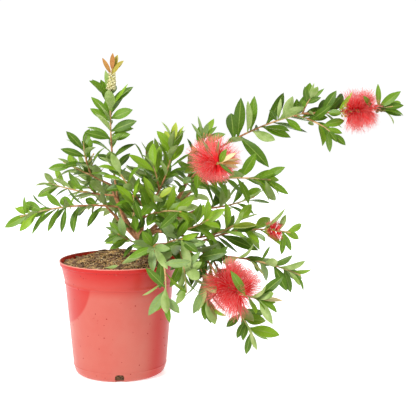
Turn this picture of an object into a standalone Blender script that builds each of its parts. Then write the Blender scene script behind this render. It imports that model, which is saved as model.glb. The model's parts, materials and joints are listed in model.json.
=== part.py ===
"""A bottlebrush shrub in flower, growing in a red plastic nursery pot.

Metres, +Z up. The origin is the centre of the pot's flat underside.
The plant is worked out from named limbs and shoots: each leaves a point on its
parent, runs in one bend to its own tip, and carries leaves in a spiral.
"""
import math
import random
from collections import namedtuple

import bmesh
import bpy
from mathutils import Matrix, Vector
from mathutils.bvhtree import BVHTree

MM = 0.001

# Clear gap between neighbouring solids, and how near corners are welded
GAP = 0.3 * MM
WELD = 0.01 * MM

# Pot, from the outside in
POT_SIDES = 36
POT_HEIGHT = 181 * MM
WALL = 1.6 * MM
FLOOR = 2.0 * MM
POT_OUTLINE = (
    (93.2, 181.0), (93.9, 180.0), (93.5, 174.6), (91.6, 174.0), (88.6, 162.0),
    (86.2, 150.0), (86.2, 146.0), (85.0, 145.0), (73.6, 15.5), (72.2, 9.0),
    (69.8, 3.4), (64.5, 0.0),
)
INNER_LEVELS = (15.5, 145.0, 162.0, 174.0, 181.0)
DRAIN_COUNT = 4
DRAIN_WIDTH = 14 * MM
DRAIN_HEIGHT = 13.5 * MM
DRAIN_DEPTH = 14 * MM
DRAIN_RADIUS = 69 * MM
DRAIN_CORNER = 4 * MM
DRAIN_CORNER_STEPS = 3
DRAIN_TURN = math.radians(-86)

# Compost: its edge, and heaps given as centre x, y, height and spread
COMPOST_RINGS = 6
COMPOST_EDGE = 172.5 * MM
HEAPS = ((-16, 40, 15, 34), (45, 2, 12, 34))
HEAP_FADE = 4
TRUNK_BED = 16 * MM
BED_BLEND = 2.0

# Trunk foot, and how the stem swells at the ground
FOOT = (45, 0, 183.7)
FLARE = 1.55
FLARE_HEIGHT = 9 * MM
FLARE_KNEE = 0.3
FLARE_AT_KNEE = 0.45

# The trunk is ten-sided, its limbs six-sided and twigs three-sided
TRUNK_SIDES = 10
LIMB_SIDES = 6
TWIG_SIDES = 3
TRUNK_STEP = 8 * MM
LIMB_STEP = 11 * MM
TWIG_STEP = 18 * MM
TWIG_RADIUS = 1.5 * MM
TWIG_TAPER = 0.62

# Below this sine of its angle to upright, a line counts as upright
NEARLY_UPRIGHT = 0.05

# A limb's start is moved along its line until the rim of its cap is clear
START_STEP = 0.15 * MM
RIM_POINTS = 12
KNOT_ROOM = 3 * MM

# Room that twigs and leaves keep round the pot, above its lip and over the compost
ROOM_ROUND_POT = 2 * MM
ROOM_ABOVE_LIP = 1.5 * MM
ROOM_OVER_COMPOST = 2 * MM
HEAPS_BELOW = 12 * MM

# Leaves: a lance blade of eight faces, widest a little below its middle
LEAF_SPACING = 10.8 * MM
LEAF_CROWDING = 0.5
TUFT_CROWDING = 0.5
LEAF_TURN = math.radians(137.5)
LEAF_WIDEST = 0.46
LEAF_SLENDER = 0.46
LEAF_THICKNESS = 0.95 * MM
LEAF_SINK = 0.42
LEAF_FOLD = 0.10
LEAF_DROOP = 0.10
LEAF_ANGLE_BASE = math.radians(58)
LEAF_ANGLE_TIP = math.radians(24)
LAST_LEAF_ANGLE = 0.12
LAST_LEAF_SINK = 0.4 * MM
BARE_STEM = 0.07

# How leaves differ by chance, and how one is turned until it finds room
LEAF_SIZES = 0.12
LEAF_WIDTHS = 0.1
LEAF_ANGLES = 0.12
LEAF_TWISTS = 0.7
LEAF_TRIES = 9
TRY_TURN = 0.7
TRY_TILT = 0.05

# A leaf's size at a twig's foot and tip, and how fast it reaches full size
SIZE_AT_FOOT = 0.72
SIZE_AT_TIP = 0.66
GROWTH_FROM_FOOT = 1.6
GROWTH_FROM_TIP = 1.4

# Side twigs of a shoot: the first one's share of the stem, and the next ones'
SIDE_FIRST = 0.30
SIDE_EVERY = 0.28
SIDE_SCATTER = 0.04
SIDE_ANGLE = math.radians(42)
SIDE_SHARE = 0.5
SIDE_SHORTEST = 20 * MM
SIDE_THICKNESS = 0.8
SIDE_BOW = -0.05
SIDE_TRIES = 10

# Blooms are spiky spindles round their stem; no leaf grows from most of one
BLOOM_SEGMENTS = 8
BUD_SEGMENTS = 5
BUD_RADIUS = 10
BLOOM_RINGS = 5
BLOOM_CORE = 0.74
BLOOM_BARE = 0.92

Limb = namedtuple("Limb", "name parent along tip bow base_radius tip_radius")
Shoot = namedtuple("Shoot", "name parent along tip bow leaf sides bloom")
Bloom = namedtuple("Bloom", "along length radius colour")

# Millimetres: where each limb leaves its parent, its tip, and how its middle bows
TRUNK = Limb("trunk", None, 0.0, (32, 2, 224), (-3, 0, 2), 6.2, 4.6)
BOUGHS = (
    Limb("bough_leader", "trunk", 0.45, (-2, 4, 280), (-6, 2, -6), 3.4, 2.3),
    Limb("bough_upper_left", "trunk", 0.80, (-15, 28, 296), (-3, 9, -9), 3.0, 2.1),
    Limb("bough_middle", "trunk", 1.0, (47, -6, 263), (-3, -2, 0), 3.3, 2.4),
    Limb("bough_long_low", "trunk", 0.72, (112, 27, 314), (6, 2, -9), 3.6, 2.8),
    Limb("bough_long_high", "bough_long_low", 1.0, (161, 33, 356), (0, 0, 3), 2.7, 2.1),
    Limb("bough_right", "trunk", 0.55, (131, 34, 257), (0, 11, 4), 3.2, 2.2),
    Limb("bough_low_right", "trunk", 0.94, (127, -28, 212), (0, -7, 9), 2.8, 2.0),
    Limb("bough_lower", "trunk", 0.22, (149, -62, 196), (0, -12, 12), 3.4, 2.2),
    Limb("bough_front", "trunk", 0.36, (56, -58, 205), (0, -4, 8), 2.8, 2.0),
    Limb("bough_back", "trunk", 0.66, (38, 88, 262), (0, 6, 6), 3.2, 2.2),
    Limb("bough_back_right", "trunk", 0.30, (95, 88, 262), (0, 8, 8), 3.0, 2.2),
    Limb("bough_back_left", "trunk", 0.20, (-22, 76, 250), (-4, 8, 2), 3.0, 2.2),
)

RED = (0.62, 0.035, 0.045, 1.0)
BUD = (0.42, 0.46, 0.12, 1.0)
SHOOTS = (
    Shoot("shoot_top", "bough_leader", 1.0, (-8, 0, 477), (-6, 0, 0), 44, 0,
          Bloom(0.90, 26, 4.5, BUD)),
    Shoot("shoot_young_front", "bough_middle", 0.9, (-8, -18, 338), (2, -4, -5), 38, 0, None),
    Shoot("shoot_upper_left", "bough_upper_left", 1.0, (-88, 38, 330), (0, 0, 0), 40, 1, None),
    Shoot("shoot_upper_left_spur", "shoot_upper_left", 0.42, (-56, 24, 362), (-3, 0, 2),
          40, 1, None),
    Shoot("shoot_left_middle", "bough_upper_left", 0.82, (-114, 50, 296), (0, 2, -4), 40, 0, None),
    Shoot("shoot_left_long", "bough_leader", 0.8, (-148, -20, 252), (0, 0, 8), 40, 0, None),
    Shoot("shoot_inner_left", "bough_leader", 0.35, (26, -36, 284), (4, -6, 0), 40, 0, None),
    Shoot("shoot_centre_up", "bough_middle", 1.0, (85, -8, 374), (10, 0, 0), 46, 1, None),
    Shoot("shoot_centre_back", "bough_middle", 0.7, (41, 50, 345), (0, 8, 0), 44, 1, None),
    Shoot("shoot_centre_flower", "bough_long_low", 0.8, (161, -110, 342), (-2, 0, 10), 40, 0,
          Bloom(0.82, 48, 33, RED)),
    Shoot("shoot_crown_right", "bough_long_low", 0.96, (134, 10, 377), (4, 0, 0), 46, 0, None),
    Shoot("shoot_right_arm", "bough_long_low", 0.88, (236, 8, 306), (0, 0, 5), 46, 0, None),
    Shoot("shoot_long_branch", "bough_long_high", 1.0, (290, 30, 409), (0, 0, 6), 58, 0, None),
    Shoot("shoot_long_up", "shoot_long_branch", 1.0, (305, 24, 437), (-2, 0, 0), 40, 0, None),
    Shoot("shoot_long_drop", "shoot_long_branch", 0.9, (336, 16, 378), (3, 0, 4), 44, 0, None),
    Shoot("shoot_long_tip", "shoot_long_branch", 1.0, (428, 20, 420), (0, 0, -2), 46, 0,
          Bloom(0.63, 54, 33, RED)),
    Shoot("shoot_right_middle", "bough_right", 1.0, (213, 44, 274), (0, 0, -4), 46, 1, None),
    Shoot("shoot_right_bright", "bough_low_right", 0.85, (192, -48, 252), (6, 0, -6), 46, 0, None),
    Shoot("shoot_small_flower", "bough_low_right", 1.0, (264, -36, 229), (0, 0, 11), 44, 0,
          Bloom(0.84, 26, 17, RED)),
    Shoot("shoot_lower_right", "bough_lower", 1.0, (276, -90, 173), (0, 0, 7), 42, 0, None),
    Shoot("shoot_low_flower", "bough_lower", 0.86, (222, -134, 147), (-4, -10, -18), 44, 0,
          Bloom(0.58, 66, 38, RED)),
    Shoot("shoot_lowest", "bough_lower", 0.96, (207, -84, 80), (2, 4, -6), 50, 0, None),
    Shoot("shoot_under_flower", "bough_lower", 0.6, (140, -92, 130), (6, -8, 16), 50, 0, None),
    Shoot("shoot_pot_front", "bough_front", 1.0, (77, -112, 136), (8, -16, 22), 46, 0, None),
    Shoot("shoot_front_tuft", "bough_front", 0.86, (60, -94, 216), (0, 0, 0), 38, 0, None),
    Shoot("shoot_low_left", "trunk", 0.36, (4, -42, 226), (0, 0, -2), 36, 0, None),
    Shoot("shoot_centre_front", "bough_middle", 0.55, (98, -75, 266), (0, -6, 6), 44, 0, None),
    Shoot("shoot_centre_low", "bough_lower", 0.34, (101, -88, 226), (0, 0, 2), 44, 0, None),
    Shoot("shoot_centre_right", "bough_low_right", 0.5, (139, -70, 252), (0, 0, -4), 46, 0, None),
    Shoot("shoot_centre_middle", "bough_middle", 0.8, (66, -48, 284), (0, -4, 0), 42, 0, None),
    Shoot("shoot_right_hang", "bough_lower", 0.46, (108, -98, 150), (4, -10, 18), 48, 0, None),
    Shoot("shoot_back_up", "bough_back", 0.84, (60, 84, 346), (0, 6, 0), 44, 1, None),
    Shoot("shoot_back_left", "bough_back_left", 1.0, (-70, 118, 318), (0, 0, -8), 42, 1, None),
    Shoot("shoot_back_low_left", "bough_back_left", 0.8, (-24, 142, 262), (0, 4, 0), 44, 1, None),
    Shoot("shoot_back_middle", "bough_back", 1.0, (34, 160, 300), (0, 0, 6), 44, 1, None),
    Shoot("shoot_back_right", "bough_back_right", 1.0, (142, 130, 318), (0, 0, -6), 44, 1, None),
    Shoot("shoot_back_low", "bough_back_right", 0.7, (92, 150, 228), (0, 4, 8), 46, 1, None),
)

BARK_OLD = (0.20, 0.105, 0.065, 1.0)
BARK_YOUNG = (0.33, 0.15, 0.09, 1.0)
LEAF_GREENS = ((0.135, 0.27, 0.045, 1.0), (0.18, 0.35, 0.06, 1.0), (0.25, 0.42, 0.09, 1.0))
POT_RED = (0.66, 0.075, 0.06, 1.0)
COMPOST_BROWN = (0.13, 0.08, 0.045, 1.0)


class Space:
    """Every solid placed so far, so that a new one can be tested for room."""

    def __init__(self):
        self.pieces = []

    def add(self, owner, vertices, faces):
        tree = BVHTree.FromPolygons(vertices, faces)
        low = Vector(map(min, zip(*vertices)))
        high = Vector(map(max, zip(*vertices)))
        self.pieces.append((owner, tree, low, high))

    def near(self, low, high, margin):
        for owner, tree, piece_low, piece_high in self.pieces:
            apart = any(low[k] > piece_high[k] + margin or high[k] < piece_low[k] - margin
                        for k in range(3))
            if not apart:
                yield owner, tree

    def crossed(self, vertices, faces):
        """Names the owners whose solids these faces cross."""
        low = Vector(map(min, zip(*vertices)))
        high = Vector(map(max, zip(*vertices)))
        tree = BVHTree.FromPolygons(vertices, faces)
        return {owner for owner, other in self.near(low, high, 0.0) if tree.overlap(other)}

    def touches(self, point, margin):
        """Tells whether a point lies in a solid, or nearer to one than the margin."""
        for _, tree in self.near(point, point, margin):
            spot, normal, _, distance = tree.find_nearest(point)
            if spot is not None and (distance < margin or (point - spot).dot(normal) < 0):
                return True
        return False


def millimetres(values):
    return Vector(values) * MM


def material(name, colour, roughness):
    """A plain Principled material."""
    finish = bpy.data.materials.new(name)
    finish.use_nodes = True
    shader = finish.node_tree.nodes["Principled BSDF"]
    shader.inputs["Base Color"].default_value = colour
    shader.inputs["Roughness"].default_value = roughness
    shader.inputs["Metallic"].default_value = 0.0
    finish.diffuse_color = colour
    return finish


def place(name, mesh, finish, collection):
    """Puts a mesh in the scene as a named sub-part."""
    part = bpy.data.objects.new(name, mesh)
    mesh.materials.clear()
    mesh.materials.append(finish)
    collection.objects.link(part)
    return part


def evaluated_mesh(source):
    """The mesh that an object shows with its modifiers."""
    graph = bpy.context.evaluated_depsgraph_get()
    return bpy.data.meshes.new_from_object(source.evaluated_get(graph))


def turned(name, outline, collection):
    """Turns a profile that runs down its outer side about the Z axis."""
    mesh = bpy.data.meshes.new(name)
    points = [(radius, 0.0, height) for radius, height in outline]
    mesh.from_pydata(points, [(k, k + 1) for k in range(len(points) - 1)], [])
    part = bpy.data.objects.new(name, mesh)
    collection.objects.link(part)
    screw = part.modifiers.new("Turn", "SCREW")
    screw.steps = POT_SIDES
    screw.render_steps = POT_SIDES
    screw.use_merge_vertices = True
    screw.merge_threshold = WELD
    screw.use_smooth_shade = False
    return part


def drain_cutter(index, collection):
    """One notch with rounded upper corners, across the pot's bottom corner."""
    model = bmesh.new()
    bmesh.ops.create_cube(model, size=1.0)
    bmesh.ops.scale(model, vec=(DRAIN_DEPTH, DRAIN_WIDTH, 2 * DRAIN_HEIGHT), verts=model.verts)
    upper = [edge for edge in model.edges
             if all(vertex.co.z > 0 for vertex in edge.verts)
             and abs(edge.verts[0].co.x - edge.verts[1].co.x) > DRAIN_DEPTH / 2]
    bmesh.ops.bevel(model, geom=upper, offset=DRAIN_CORNER, segments=DRAIN_CORNER_STEPS,
                    affect="EDGES", profile=0.5)
    mesh = bpy.data.meshes.new("drain notch")
    model.to_mesh(mesh)
    model.free()
    cutter = bpy.data.objects.new(f"drain_notch_{index + 1}", mesh)
    turn = DRAIN_TURN + index * math.tau / DRAIN_COUNT
    cutter.rotation_euler.z = turn
    cutter.location = (DRAIN_RADIUS * math.cos(turn), DRAIN_RADIUS * math.sin(turn), 0.0)
    cutter.hide_render = True
    cutter.display_type = "WIRE"
    collection.objects.link(cutter)
    return cutter


def inner_wall():
    """The pot's inside, floor to lip, as radii and heights."""
    wall = [(radius * MM - WALL, height * MM) for radius, height in reversed(POT_OUTLINE)
            if height in INNER_LEVELS]
    return [(POT_OUTLINE[-1][0] * MM - WALL, FLOOR)] + wall


def make_pot(collection, cutters):
    """The thin-walled pot, with its flared collar, bead and drain notches."""
    outer = [(radius * MM, height * MM) for radius, height in POT_OUTLINE]
    pot = turned("pot", [(0.0, FLOOR)] + inner_wall() + outer + [(0.0, 0.0)], collection)
    pot.data.materials.append(material("red plastic", POT_RED, 0.32))
    cut = pot.modifiers.new("Drain notches", "BOOLEAN")
    cut.operation = "DIFFERENCE"
    cut.operand_type = "COLLECTION"
    cut.collection = cutters
    for index in range(DRAIN_COUNT):
        drain_cutter(index, cutters)
    return pot


def inner_radius(height):
    """The pot's inner radius at a height."""
    wall = inner_wall()
    for (low_radius, low), (high_radius, high) in zip(wall, wall[1:]):
        if low <= height <= high:
            share = (height - low) / (high - low)
            return low_radius + share * (high_radius - low_radius)
    return wall[-1][0]


def compost_height(x, y):
    """The heaped surface: level at the wall, flat where the trunk stands."""
    edge = inner_radius(COMPOST_EDGE)
    rise = sum(height * MM * math.exp(-((x - cx * MM) ** 2 + (y - cy * MM) ** 2)
                                      / (2 * (spread * MM) ** 2))
               for cx, cy, height, spread in HEAPS)
    fade = 1.0 - min(1.0, math.hypot(x, y) / edge) ** HEAP_FADE
    height = COMPOST_EDGE + rise * fade
    bed = FOOT[2] * MM - GAP
    away = math.hypot(x - FOOT[0] * MM, y - FOOT[1] * MM) / TRUNK_BED
    if away < 1.0:
        return bed
    share = max(0.0, (BED_BLEND - away) / (BED_BLEND - 1.0))
    return height + share * (bed - height)


def make_compost(collection):
    """The compost that fills the pot, clear of its wall and floor."""
    edge = inner_radius(COMPOST_EDGE) - GAP
    top = [(edge * ring / COMPOST_RINGS, COMPOST_EDGE) for ring in range(COMPOST_RINGS + 1)]
    side = [(radius - GAP, height) for radius, height in reversed(inner_wall())
            if FLOOR < height < COMPOST_EDGE]
    foot = (inner_radius(FLOOR) - GAP, FLOOR + GAP)
    turned_part = turned("compost turned", top + side + [foot, (0.0, FLOOR + GAP)], collection)
    mesh = evaluated_mesh(turned_part)
    bpy.data.objects.remove(turned_part, do_unlink=True)
    for vertex in mesh.vertices:
        inside = math.hypot(vertex.co.x, vertex.co.y) < edge - GAP
        if inside and vertex.co.z > COMPOST_EDGE - GAP:
            vertex.co.z = compost_height(vertex.co.x, vertex.co.y)
    return place("compost", mesh, material("compost", COMPOST_BROWN, 0.95), collection)


def bend(start, tip, bow, step):
    """Points along one bend, whose middle stands off the straight line by bow."""
    middle = (start + tip) / 2 + 2 * bow
    count = max(4, math.ceil((tip - start).length / step))
    points = []
    for index in range(count + 1):
        share = index / count
        points.append((1 - share) ** 2 * start + 2 * share * (1 - share) * middle
                      + share ** 2 * tip)
    return points


def along(points, share):
    """The point and direction at a share of a line's length."""
    lengths = [(b - a).length for a, b in zip(points, points[1:])]
    left = share * sum(lengths)
    for (a, b), length in zip(zip(points, points[1:]), lengths):
        if left <= length or b is points[-1]:
            return a + (b - a) * min(1.0, left / length), (b - a).normalized()
        left -= length
    return points[-1], (points[-1] - points[-2]).normalized()


def shorten(points, start):
    """The same line from a distance along it onwards."""
    total = sum((b - a).length for a, b in zip(points, points[1:]))
    first, _ = along(points, start / total)
    walked = 0.0
    kept = [first]
    for a, b in zip(points, points[1:]):
        walked += (b - a).length
        if walked > start + KNOT_ROOM:
            kept.append(b.copy())
    return kept


def frame(direction):
    """Two directions across a line, the first as level as it can be."""
    side = direction.cross(Vector((0, 0, 1)))
    if side.length < NEARLY_UPRIGHT:
        side = direction.cross(Vector((1, 0, 0)))
    side.normalize()
    return side, side.cross(direction).normalized()


def ring_profile(sides, guides):
    """A regular polygon that a tube's curve takes as its section."""
    name = f"section_{sides}"
    if name in bpy.data.objects:
        return bpy.data.objects[name]
    curve = bpy.data.curves.new(name, "CURVE")
    curve.dimensions = "2D"
    spline = curve.splines.new("POLY")
    spline.points.add(sides - 1)
    for index, point in enumerate(spline.points):
        turn = index * math.tau / sides
        point.co = (math.cos(turn), math.sin(turn), 0.0, 1.0)
    spline.use_cyclic_u = True
    section = bpy.data.objects.new(name, curve)
    section.hide_render = True
    guides.objects.link(section)
    return section


def tube_mesh(points, radii, sides, guides):
    """A tapering limb: a curve with a polygon section and welded caps."""
    curve = bpy.data.curves.new("limb line", "CURVE")
    curve.dimensions = "3D"
    curve.bevel_mode = "OBJECT"
    curve.bevel_object = ring_profile(sides, guides)
    curve.use_fill_caps = True
    spline = curve.splines.new("POLY")
    spline.points.add(len(points) - 1)
    for knot, point, radius in zip(spline.points, points, radii):
        knot.co = (*point, 1.0)
        knot.radius = radius
    line = bpy.data.objects.new("limb line", curve)
    guides.objects.link(line)
    mesh = evaluated_mesh(line)
    bpy.data.objects.remove(line, do_unlink=True)
    bpy.data.curves.remove(curve)
    model = bmesh.new()
    model.from_mesh(mesh)
    bmesh.ops.remove_doubles(model, verts=model.verts, dist=WELD)
    bmesh.ops.recalc_face_normals(model, faces=model.faces)
    model.to_mesh(mesh)
    model.free()
    return mesh


def plain(mesh):
    """A mesh's corners and faces, as the space tests take them."""
    return [v.co.copy() for v in mesh.vertices], [tuple(f.vertices) for f in mesh.polygons]


def clear_start(points, radius, space):
    """How far along its line a limb may begin, clear of what is there."""
    total = sum((b - a).length for a, b in zip(points, points[1:]))
    start = 0.0
    while start < total / 2:
        spot, direction = along(points, start / total)
        side, up = frame(direction)
        rim = [spot + radius * (math.cos(turn) * side + math.sin(turn) * up)
               for turn in (k * math.tau / RIM_POINTS for k in range(RIM_POINTS))]
        if not any(space.touches(point, GAP) for point in rim + [spot]):
            return start
        start += START_STEP
    raise ValueError("a limb finds no room to begin")


def taper(points, first, last):
    """Radii that fall evenly from the first to the last."""
    steps = len(points) - 1
    return [first + (last - first) * index / steps for index in range(steps + 1)]


def make_trunk(lines, space, guides, collection):
    """The short trunk: flat cut at the compost, swollen foot, lean and taper."""
    foot = millimetres(FOOT)
    line = bend(foot + Vector((0, 0, FLARE_HEIGHT)), millimetres(TRUNK.tip),
                millimetres(TRUNK.bow), TRUNK_STEP)
    rise = [foot, foot + Vector((0, 0, FLARE_KNEE * FLARE_HEIGHT))]
    points = rise + line
    radii = taper(points, TRUNK.base_radius * MM, TRUNK.tip_radius * MM)
    radii[0] *= FLARE
    radii[1] *= 1 + (FLARE - 1) * FLARE_AT_KNEE
    mesh = tube_mesh(points, radii, TRUNK_SIDES, guides)
    lines["trunk"] = points
    space.add("trunk", *plain(mesh))
    return place("trunk", mesh, material("trunk bark", BARK_OLD, 0.85), collection)


def make_bough(limb, lines, space, guides, collection):
    """One tapering limb, from just clear of its parent to its tip."""
    start, _ = along(lines[limb.parent], limb.along)
    line = bend(start, millimetres(limb.tip), millimetres(limb.bow), LIMB_STEP)
    radius = limb.base_radius * MM
    line = shorten(line, clear_start(line, radius, space))
    mesh = tube_mesh(line, taper(line, radius, limb.tip_radius * MM), LIMB_SIDES, guides)
    report_crossing(limb.name, mesh, space)
    lines[limb.name] = line
    space.add(limb.name, *plain(mesh))
    return place(limb.name, mesh, material(f"{limb.name} bark", BARK_YOUNG, 0.8), collection)


def report_crossing(name, mesh, space):
    crossed = space.crossed(*plain(mesh))
    if crossed:
        print(f"{name} crosses {sorted(crossed)}")


def make_stem(shoot, lines, space, guides):
    """A shoot's main twig, from just clear of its bough to its tip."""
    start, _ = along(lines[shoot.parent], shoot.along)
    line = bend(start, millimetres(shoot.tip), millimetres(shoot.bow), TWIG_STEP)
    line = shorten(line, clear_start(line, TWIG_RADIUS, space))
    mesh = tube_mesh(line, taper(line, TWIG_RADIUS, TWIG_RADIUS * TWIG_TAPER), TWIG_SIDES, guides)
    report_crossing(shoot.name, mesh, space)
    lines[shoot.name] = line
    space.add(shoot.name, *plain(mesh))
    return mesh


def line_length(points):
    return sum((b - a).length for a, b in zip(points, points[1:]))


def side_twigs(shoot, lines, space, guides):
    """Side twigs by a seeded rule: those that would touch another solid are skipped."""
    stem = lines[shoot.name]
    found = []
    for index in range(shoot.sides):
        chance = random.Random(f"{shoot.name} side {index}")
        share = SIDE_FIRST + SIDE_EVERY * index + chance.uniform(-SIDE_SCATTER, SIDE_SCATTER)
        start, direction = along(stem, share)
        side, up = frame(direction)
        reach = max(SIDE_SHORTEST, SIDE_SHARE * (1 - share) * line_length(stem))
        first_turn = chance.uniform(0, math.tau)
        for attempt in range(SIDE_TRIES):
            turn = first_turn + attempt * LEAF_TURN
            outward = math.cos(turn) * side + math.sin(turn) * up
            heading = math.cos(SIDE_ANGLE) * direction + math.sin(SIDE_ANGLE) * outward
            tip = start + reach * heading
            line = bend(start, tip, SIDE_BOW * reach * outward, TWIG_STEP)
            radius = TWIG_RADIUS * SIDE_THICKNESS
            radii = taper(line, radius, radius * TWIG_TAPER)
            swollen = tube_mesh(line, [radius + GAP for radius in radii], TWIG_SIDES, guides)
            if space.crossed(*plain(swollen)) - {shoot.name} or in_pot(swollen):
                continue
            mesh = tube_mesh(line, radii, TWIG_SIDES, guides)
            space.add(shoot.name, *plain(mesh))
            found.append((line, mesh))
            break
    return found


def in_pot(mesh):
    """Tells whether any corner lies in the pot or near its compost."""
    return any(point_in_pot(vertex.co) for vertex in mesh.vertices)


def point_in_pot(point):
    radius = math.hypot(point.x, point.y)
    rim = POT_OUTLINE[1][0] * MM + ROOM_ROUND_POT
    if radius > rim or point.z > POT_HEIGHT + HEAPS_BELOW:
        return False
    ground = compost_height(point.x, point.y) + ROOM_OVER_COMPOST
    return point.z < max(POT_HEIGHT + ROOM_ABOVE_LIP, ground)


def bloom_pose(shoot, lines):
    """The bloom's spindle: its centre, axis and half sizes."""
    bloom = shoot.bloom
    centre, direction = along(lines[shoot.name], bloom.along)
    size = Matrix.Diagonal((bloom.radius * MM, bloom.radius * MM, bloom.length * MM / 2, 1.0))
    turn = direction.to_track_quat("Z", "Y").to_matrix().to_4x4()
    return Matrix.Translation(centre) @ turn @ size


def bloom_blank(shoot, lines):
    """A spiky spindle round the stem: each face of its core carries a spike."""
    model = bmesh.new()
    segments = BLOOM_SEGMENTS if shoot.bloom.radius > BUD_RADIUS else BUD_SEGMENTS
    bmesh.ops.create_uvsphere(model, u_segments=segments, v_segments=BLOOM_RINGS,
                              radius=BLOOM_CORE)
    spikes = bmesh.ops.poke(model, faces=model.faces)["verts"]
    for vertex in spikes:
        vertex.co.normalize()
    bmesh.ops.transform(model, matrix=bloom_pose(shoot, lines), verts=model.verts)
    bmesh.ops.recalc_face_normals(model, faces=model.faces)
    mesh = bpy.data.meshes.new("bloom")
    model.to_mesh(mesh)
    model.free()
    return mesh


def colour_bloom(mesh, shoot, lines):
    """Gives the bloom's faces its own colour, in the shoot's second slot."""
    mesh.materials.append(material(f"{shoot.name} bloom", shoot.bloom.colour, 0.7))
    inward = bloom_pose(shoot, lines).inverted()
    for face in mesh.polygons:
        if (inward @ face.center).length < 1.0:
            face.material_index = 1


def leaf_blank():
    """Corners and faces of the leaf: a sphere of four segments and two rings."""
    model = bmesh.new()
    bmesh.ops.create_uvsphere(model, u_segments=4, v_segments=2, radius=1.0)
    corners = [vertex.co.copy() for vertex in model.verts]
    faces = [tuple(vertex.index for vertex in face.verts) for face in model.faces]
    model.free()
    return corners, faces


def leaf_corners(blank, spot, axis, face, length, width, root, swell):
    """Shapes the blank into a folded, drooping blade that grows from a spot."""
    across = face.cross(axis).normalized()
    corners = []
    for corner in blank:
        if corner.z > 0.5:
            forward, lift = length + swell, -LEAF_DROOP * length
        elif corner.z < -0.5:
            forward, lift = -root, 0.0
        else:
            forward = LEAF_WIDEST * length
            lift = (corner.y * (LEAF_THICKNESS / 2 + swell)
                    + abs(corner.x) * LEAF_FOLD * width)
        sideways = corner.x * (width / 2 + swell)
        corners.append(spot + forward * axis + sideways * across + lift * face)
    return corners


def leaf_size(share):
    """Leaves are shorter at a shoot's foot, and small round its tip."""
    foot = min(1.0, SIZE_AT_FOOT + GROWTH_FROM_FOOT * share)
    tip = min(1.0, SIZE_AT_TIP + GROWTH_FROM_TIP * (1 - share))
    return foot * tip


def leaf_places(shoot, label, length):
    """Shares of a twig's length at which leaves grow: closer towards its tip."""
    places = []
    share = BARE_STEM
    while share < 1.0:
        if not (label == "stem" and shoot.bloom and in_bloom(shoot, share, length)):
            places.append(share)
        step = LEAF_SPACING / length * (1 - LEAF_CROWDING * share)
        past_bloom = label == "stem" and shoot.bloom and share > shoot.bloom.along
        share += step * TUFT_CROWDING if past_bloom else step
    return places + [1.0 - LAST_LEAF_SINK / length]


def grow_leaves(shoot, line, label, blank, space):
    """Leaves in a spiral along one twig, each turned until it finds room."""
    corners, faces = blank
    length = line_length(line)
    places = leaf_places(shoot, label, length)
    own = shoot.name + " leaves"
    grown = []
    for index, share in enumerate(places):
        chance = random.Random(f"{shoot.name} {label} leaf {index}")
        spot, direction = along(line, share)
        side, up = frame(direction)
        size = shoot.leaf * MM * leaf_size(share) * chance.uniform(1 - LEAF_SIZES, 1 + LEAF_SIZES)
        width = size * LEAF_SLENDER * chance.uniform(1 - LEAF_WIDTHS, 1 + LEAF_WIDTHS)
        root = LEAF_SINK * TWIG_RADIUS * (1 - (1 - TWIG_TAPER) * share)
        lean = LEAF_ANGLE_BASE + (LEAF_ANGLE_TIP - LEAF_ANGLE_BASE) * share ** 2
        lean += chance.uniform(-LEAF_ANGLES, LEAF_ANGLES)
        if share is places[-1]:
            lean = LAST_LEAF_ANGLE
        twist = chance.uniform(-LEAF_TWISTS, LEAF_TWISTS)
        for attempt in range(LEAF_TRIES):
            turn = index * LEAF_TURN + attempt * TRY_TURN * (-1) ** attempt
            outward = math.cos(turn) * side + math.sin(turn) * up
            tilt = lean * (1 - TRY_TILT * attempt)
            axis = math.cos(tilt) * direction + math.sin(tilt) * outward
            upper = math.sin(tilt) * direction - math.cos(tilt) * outward
            face = Matrix.Rotation(twist, 3, axis) @ upper
            probe = leaf_corners(corners, spot, axis, face, size, width, root, GAP)
            blocked = space.crossed(probe, faces) - {shoot.name}
            if blocked or any(point_in_pot(point) for point in probe[1:]):
                continue
            leaf = leaf_corners(corners, spot, axis, face, size, width, root, 0.0)
            space.add(own, leaf, faces)
            grown.append(leaf)
            break
    return grown


def in_bloom(shoot, share, length):
    """Tells whether a place on the stem lies inside the bloom."""
    half = 0.5 * shoot.bloom.length * MM / length
    return abs(share - shoot.bloom.along) < half * BLOOM_BARE


def fuse(name, stem, extras, guides):
    """One union of a stem with everything that grows from it."""
    blanks = bpy.data.collections.new(f"{name} blanks")
    bpy.context.scene.collection.children.link(blanks)
    for index, mesh in enumerate(extras):
        blanks.objects.link(bpy.data.objects.new(f"{name} blank {index}", mesh))
    base = bpy.data.objects.new(f"{name} base", stem)
    guides.objects.link(base)
    union = base.modifiers.new("Union", "BOOLEAN")
    union.operation = "UNION"
    union.operand_type = "COLLECTION"
    union.collection = blanks
    union.solver = "MANIFOLD"
    fused = evaluated_mesh(base)
    for blank in list(blanks.objects):
        used = blank.data
        bpy.data.objects.remove(blank, do_unlink=True)
        bpy.data.meshes.remove(used)
    bpy.data.collections.remove(blanks)
    bpy.data.objects.remove(base, do_unlink=True)
    keep_outer_shell(fused)
    return fused


def keep_outer_shell(mesh):
    """Drops loose scraps and fills sealed hollows: only the largest shell stays."""
    model = bmesh.new()
    model.from_mesh(mesh)
    left = set(model.faces)
    shells = []
    while left:
        stack = [left.pop()]
        shell = set(stack)
        while stack:
            for edge in stack.pop().edges:
                for face in edge.link_faces:
                    if face in left:
                        left.remove(face)
                        shell.add(face)
                        stack.append(face)
        shells.append(shell)
    largest = max(shells, key=len)
    scraps = [face for shell in shells if shell is not largest for face in shell]
    bmesh.ops.delete(model, geom=scraps, context="FACES")
    model.to_mesh(mesh)
    model.free()


def mesh_of(corners, faces):
    mesh = bpy.data.meshes.new("leaf")
    mesh.from_pydata(corners, [], faces)
    return mesh


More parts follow.
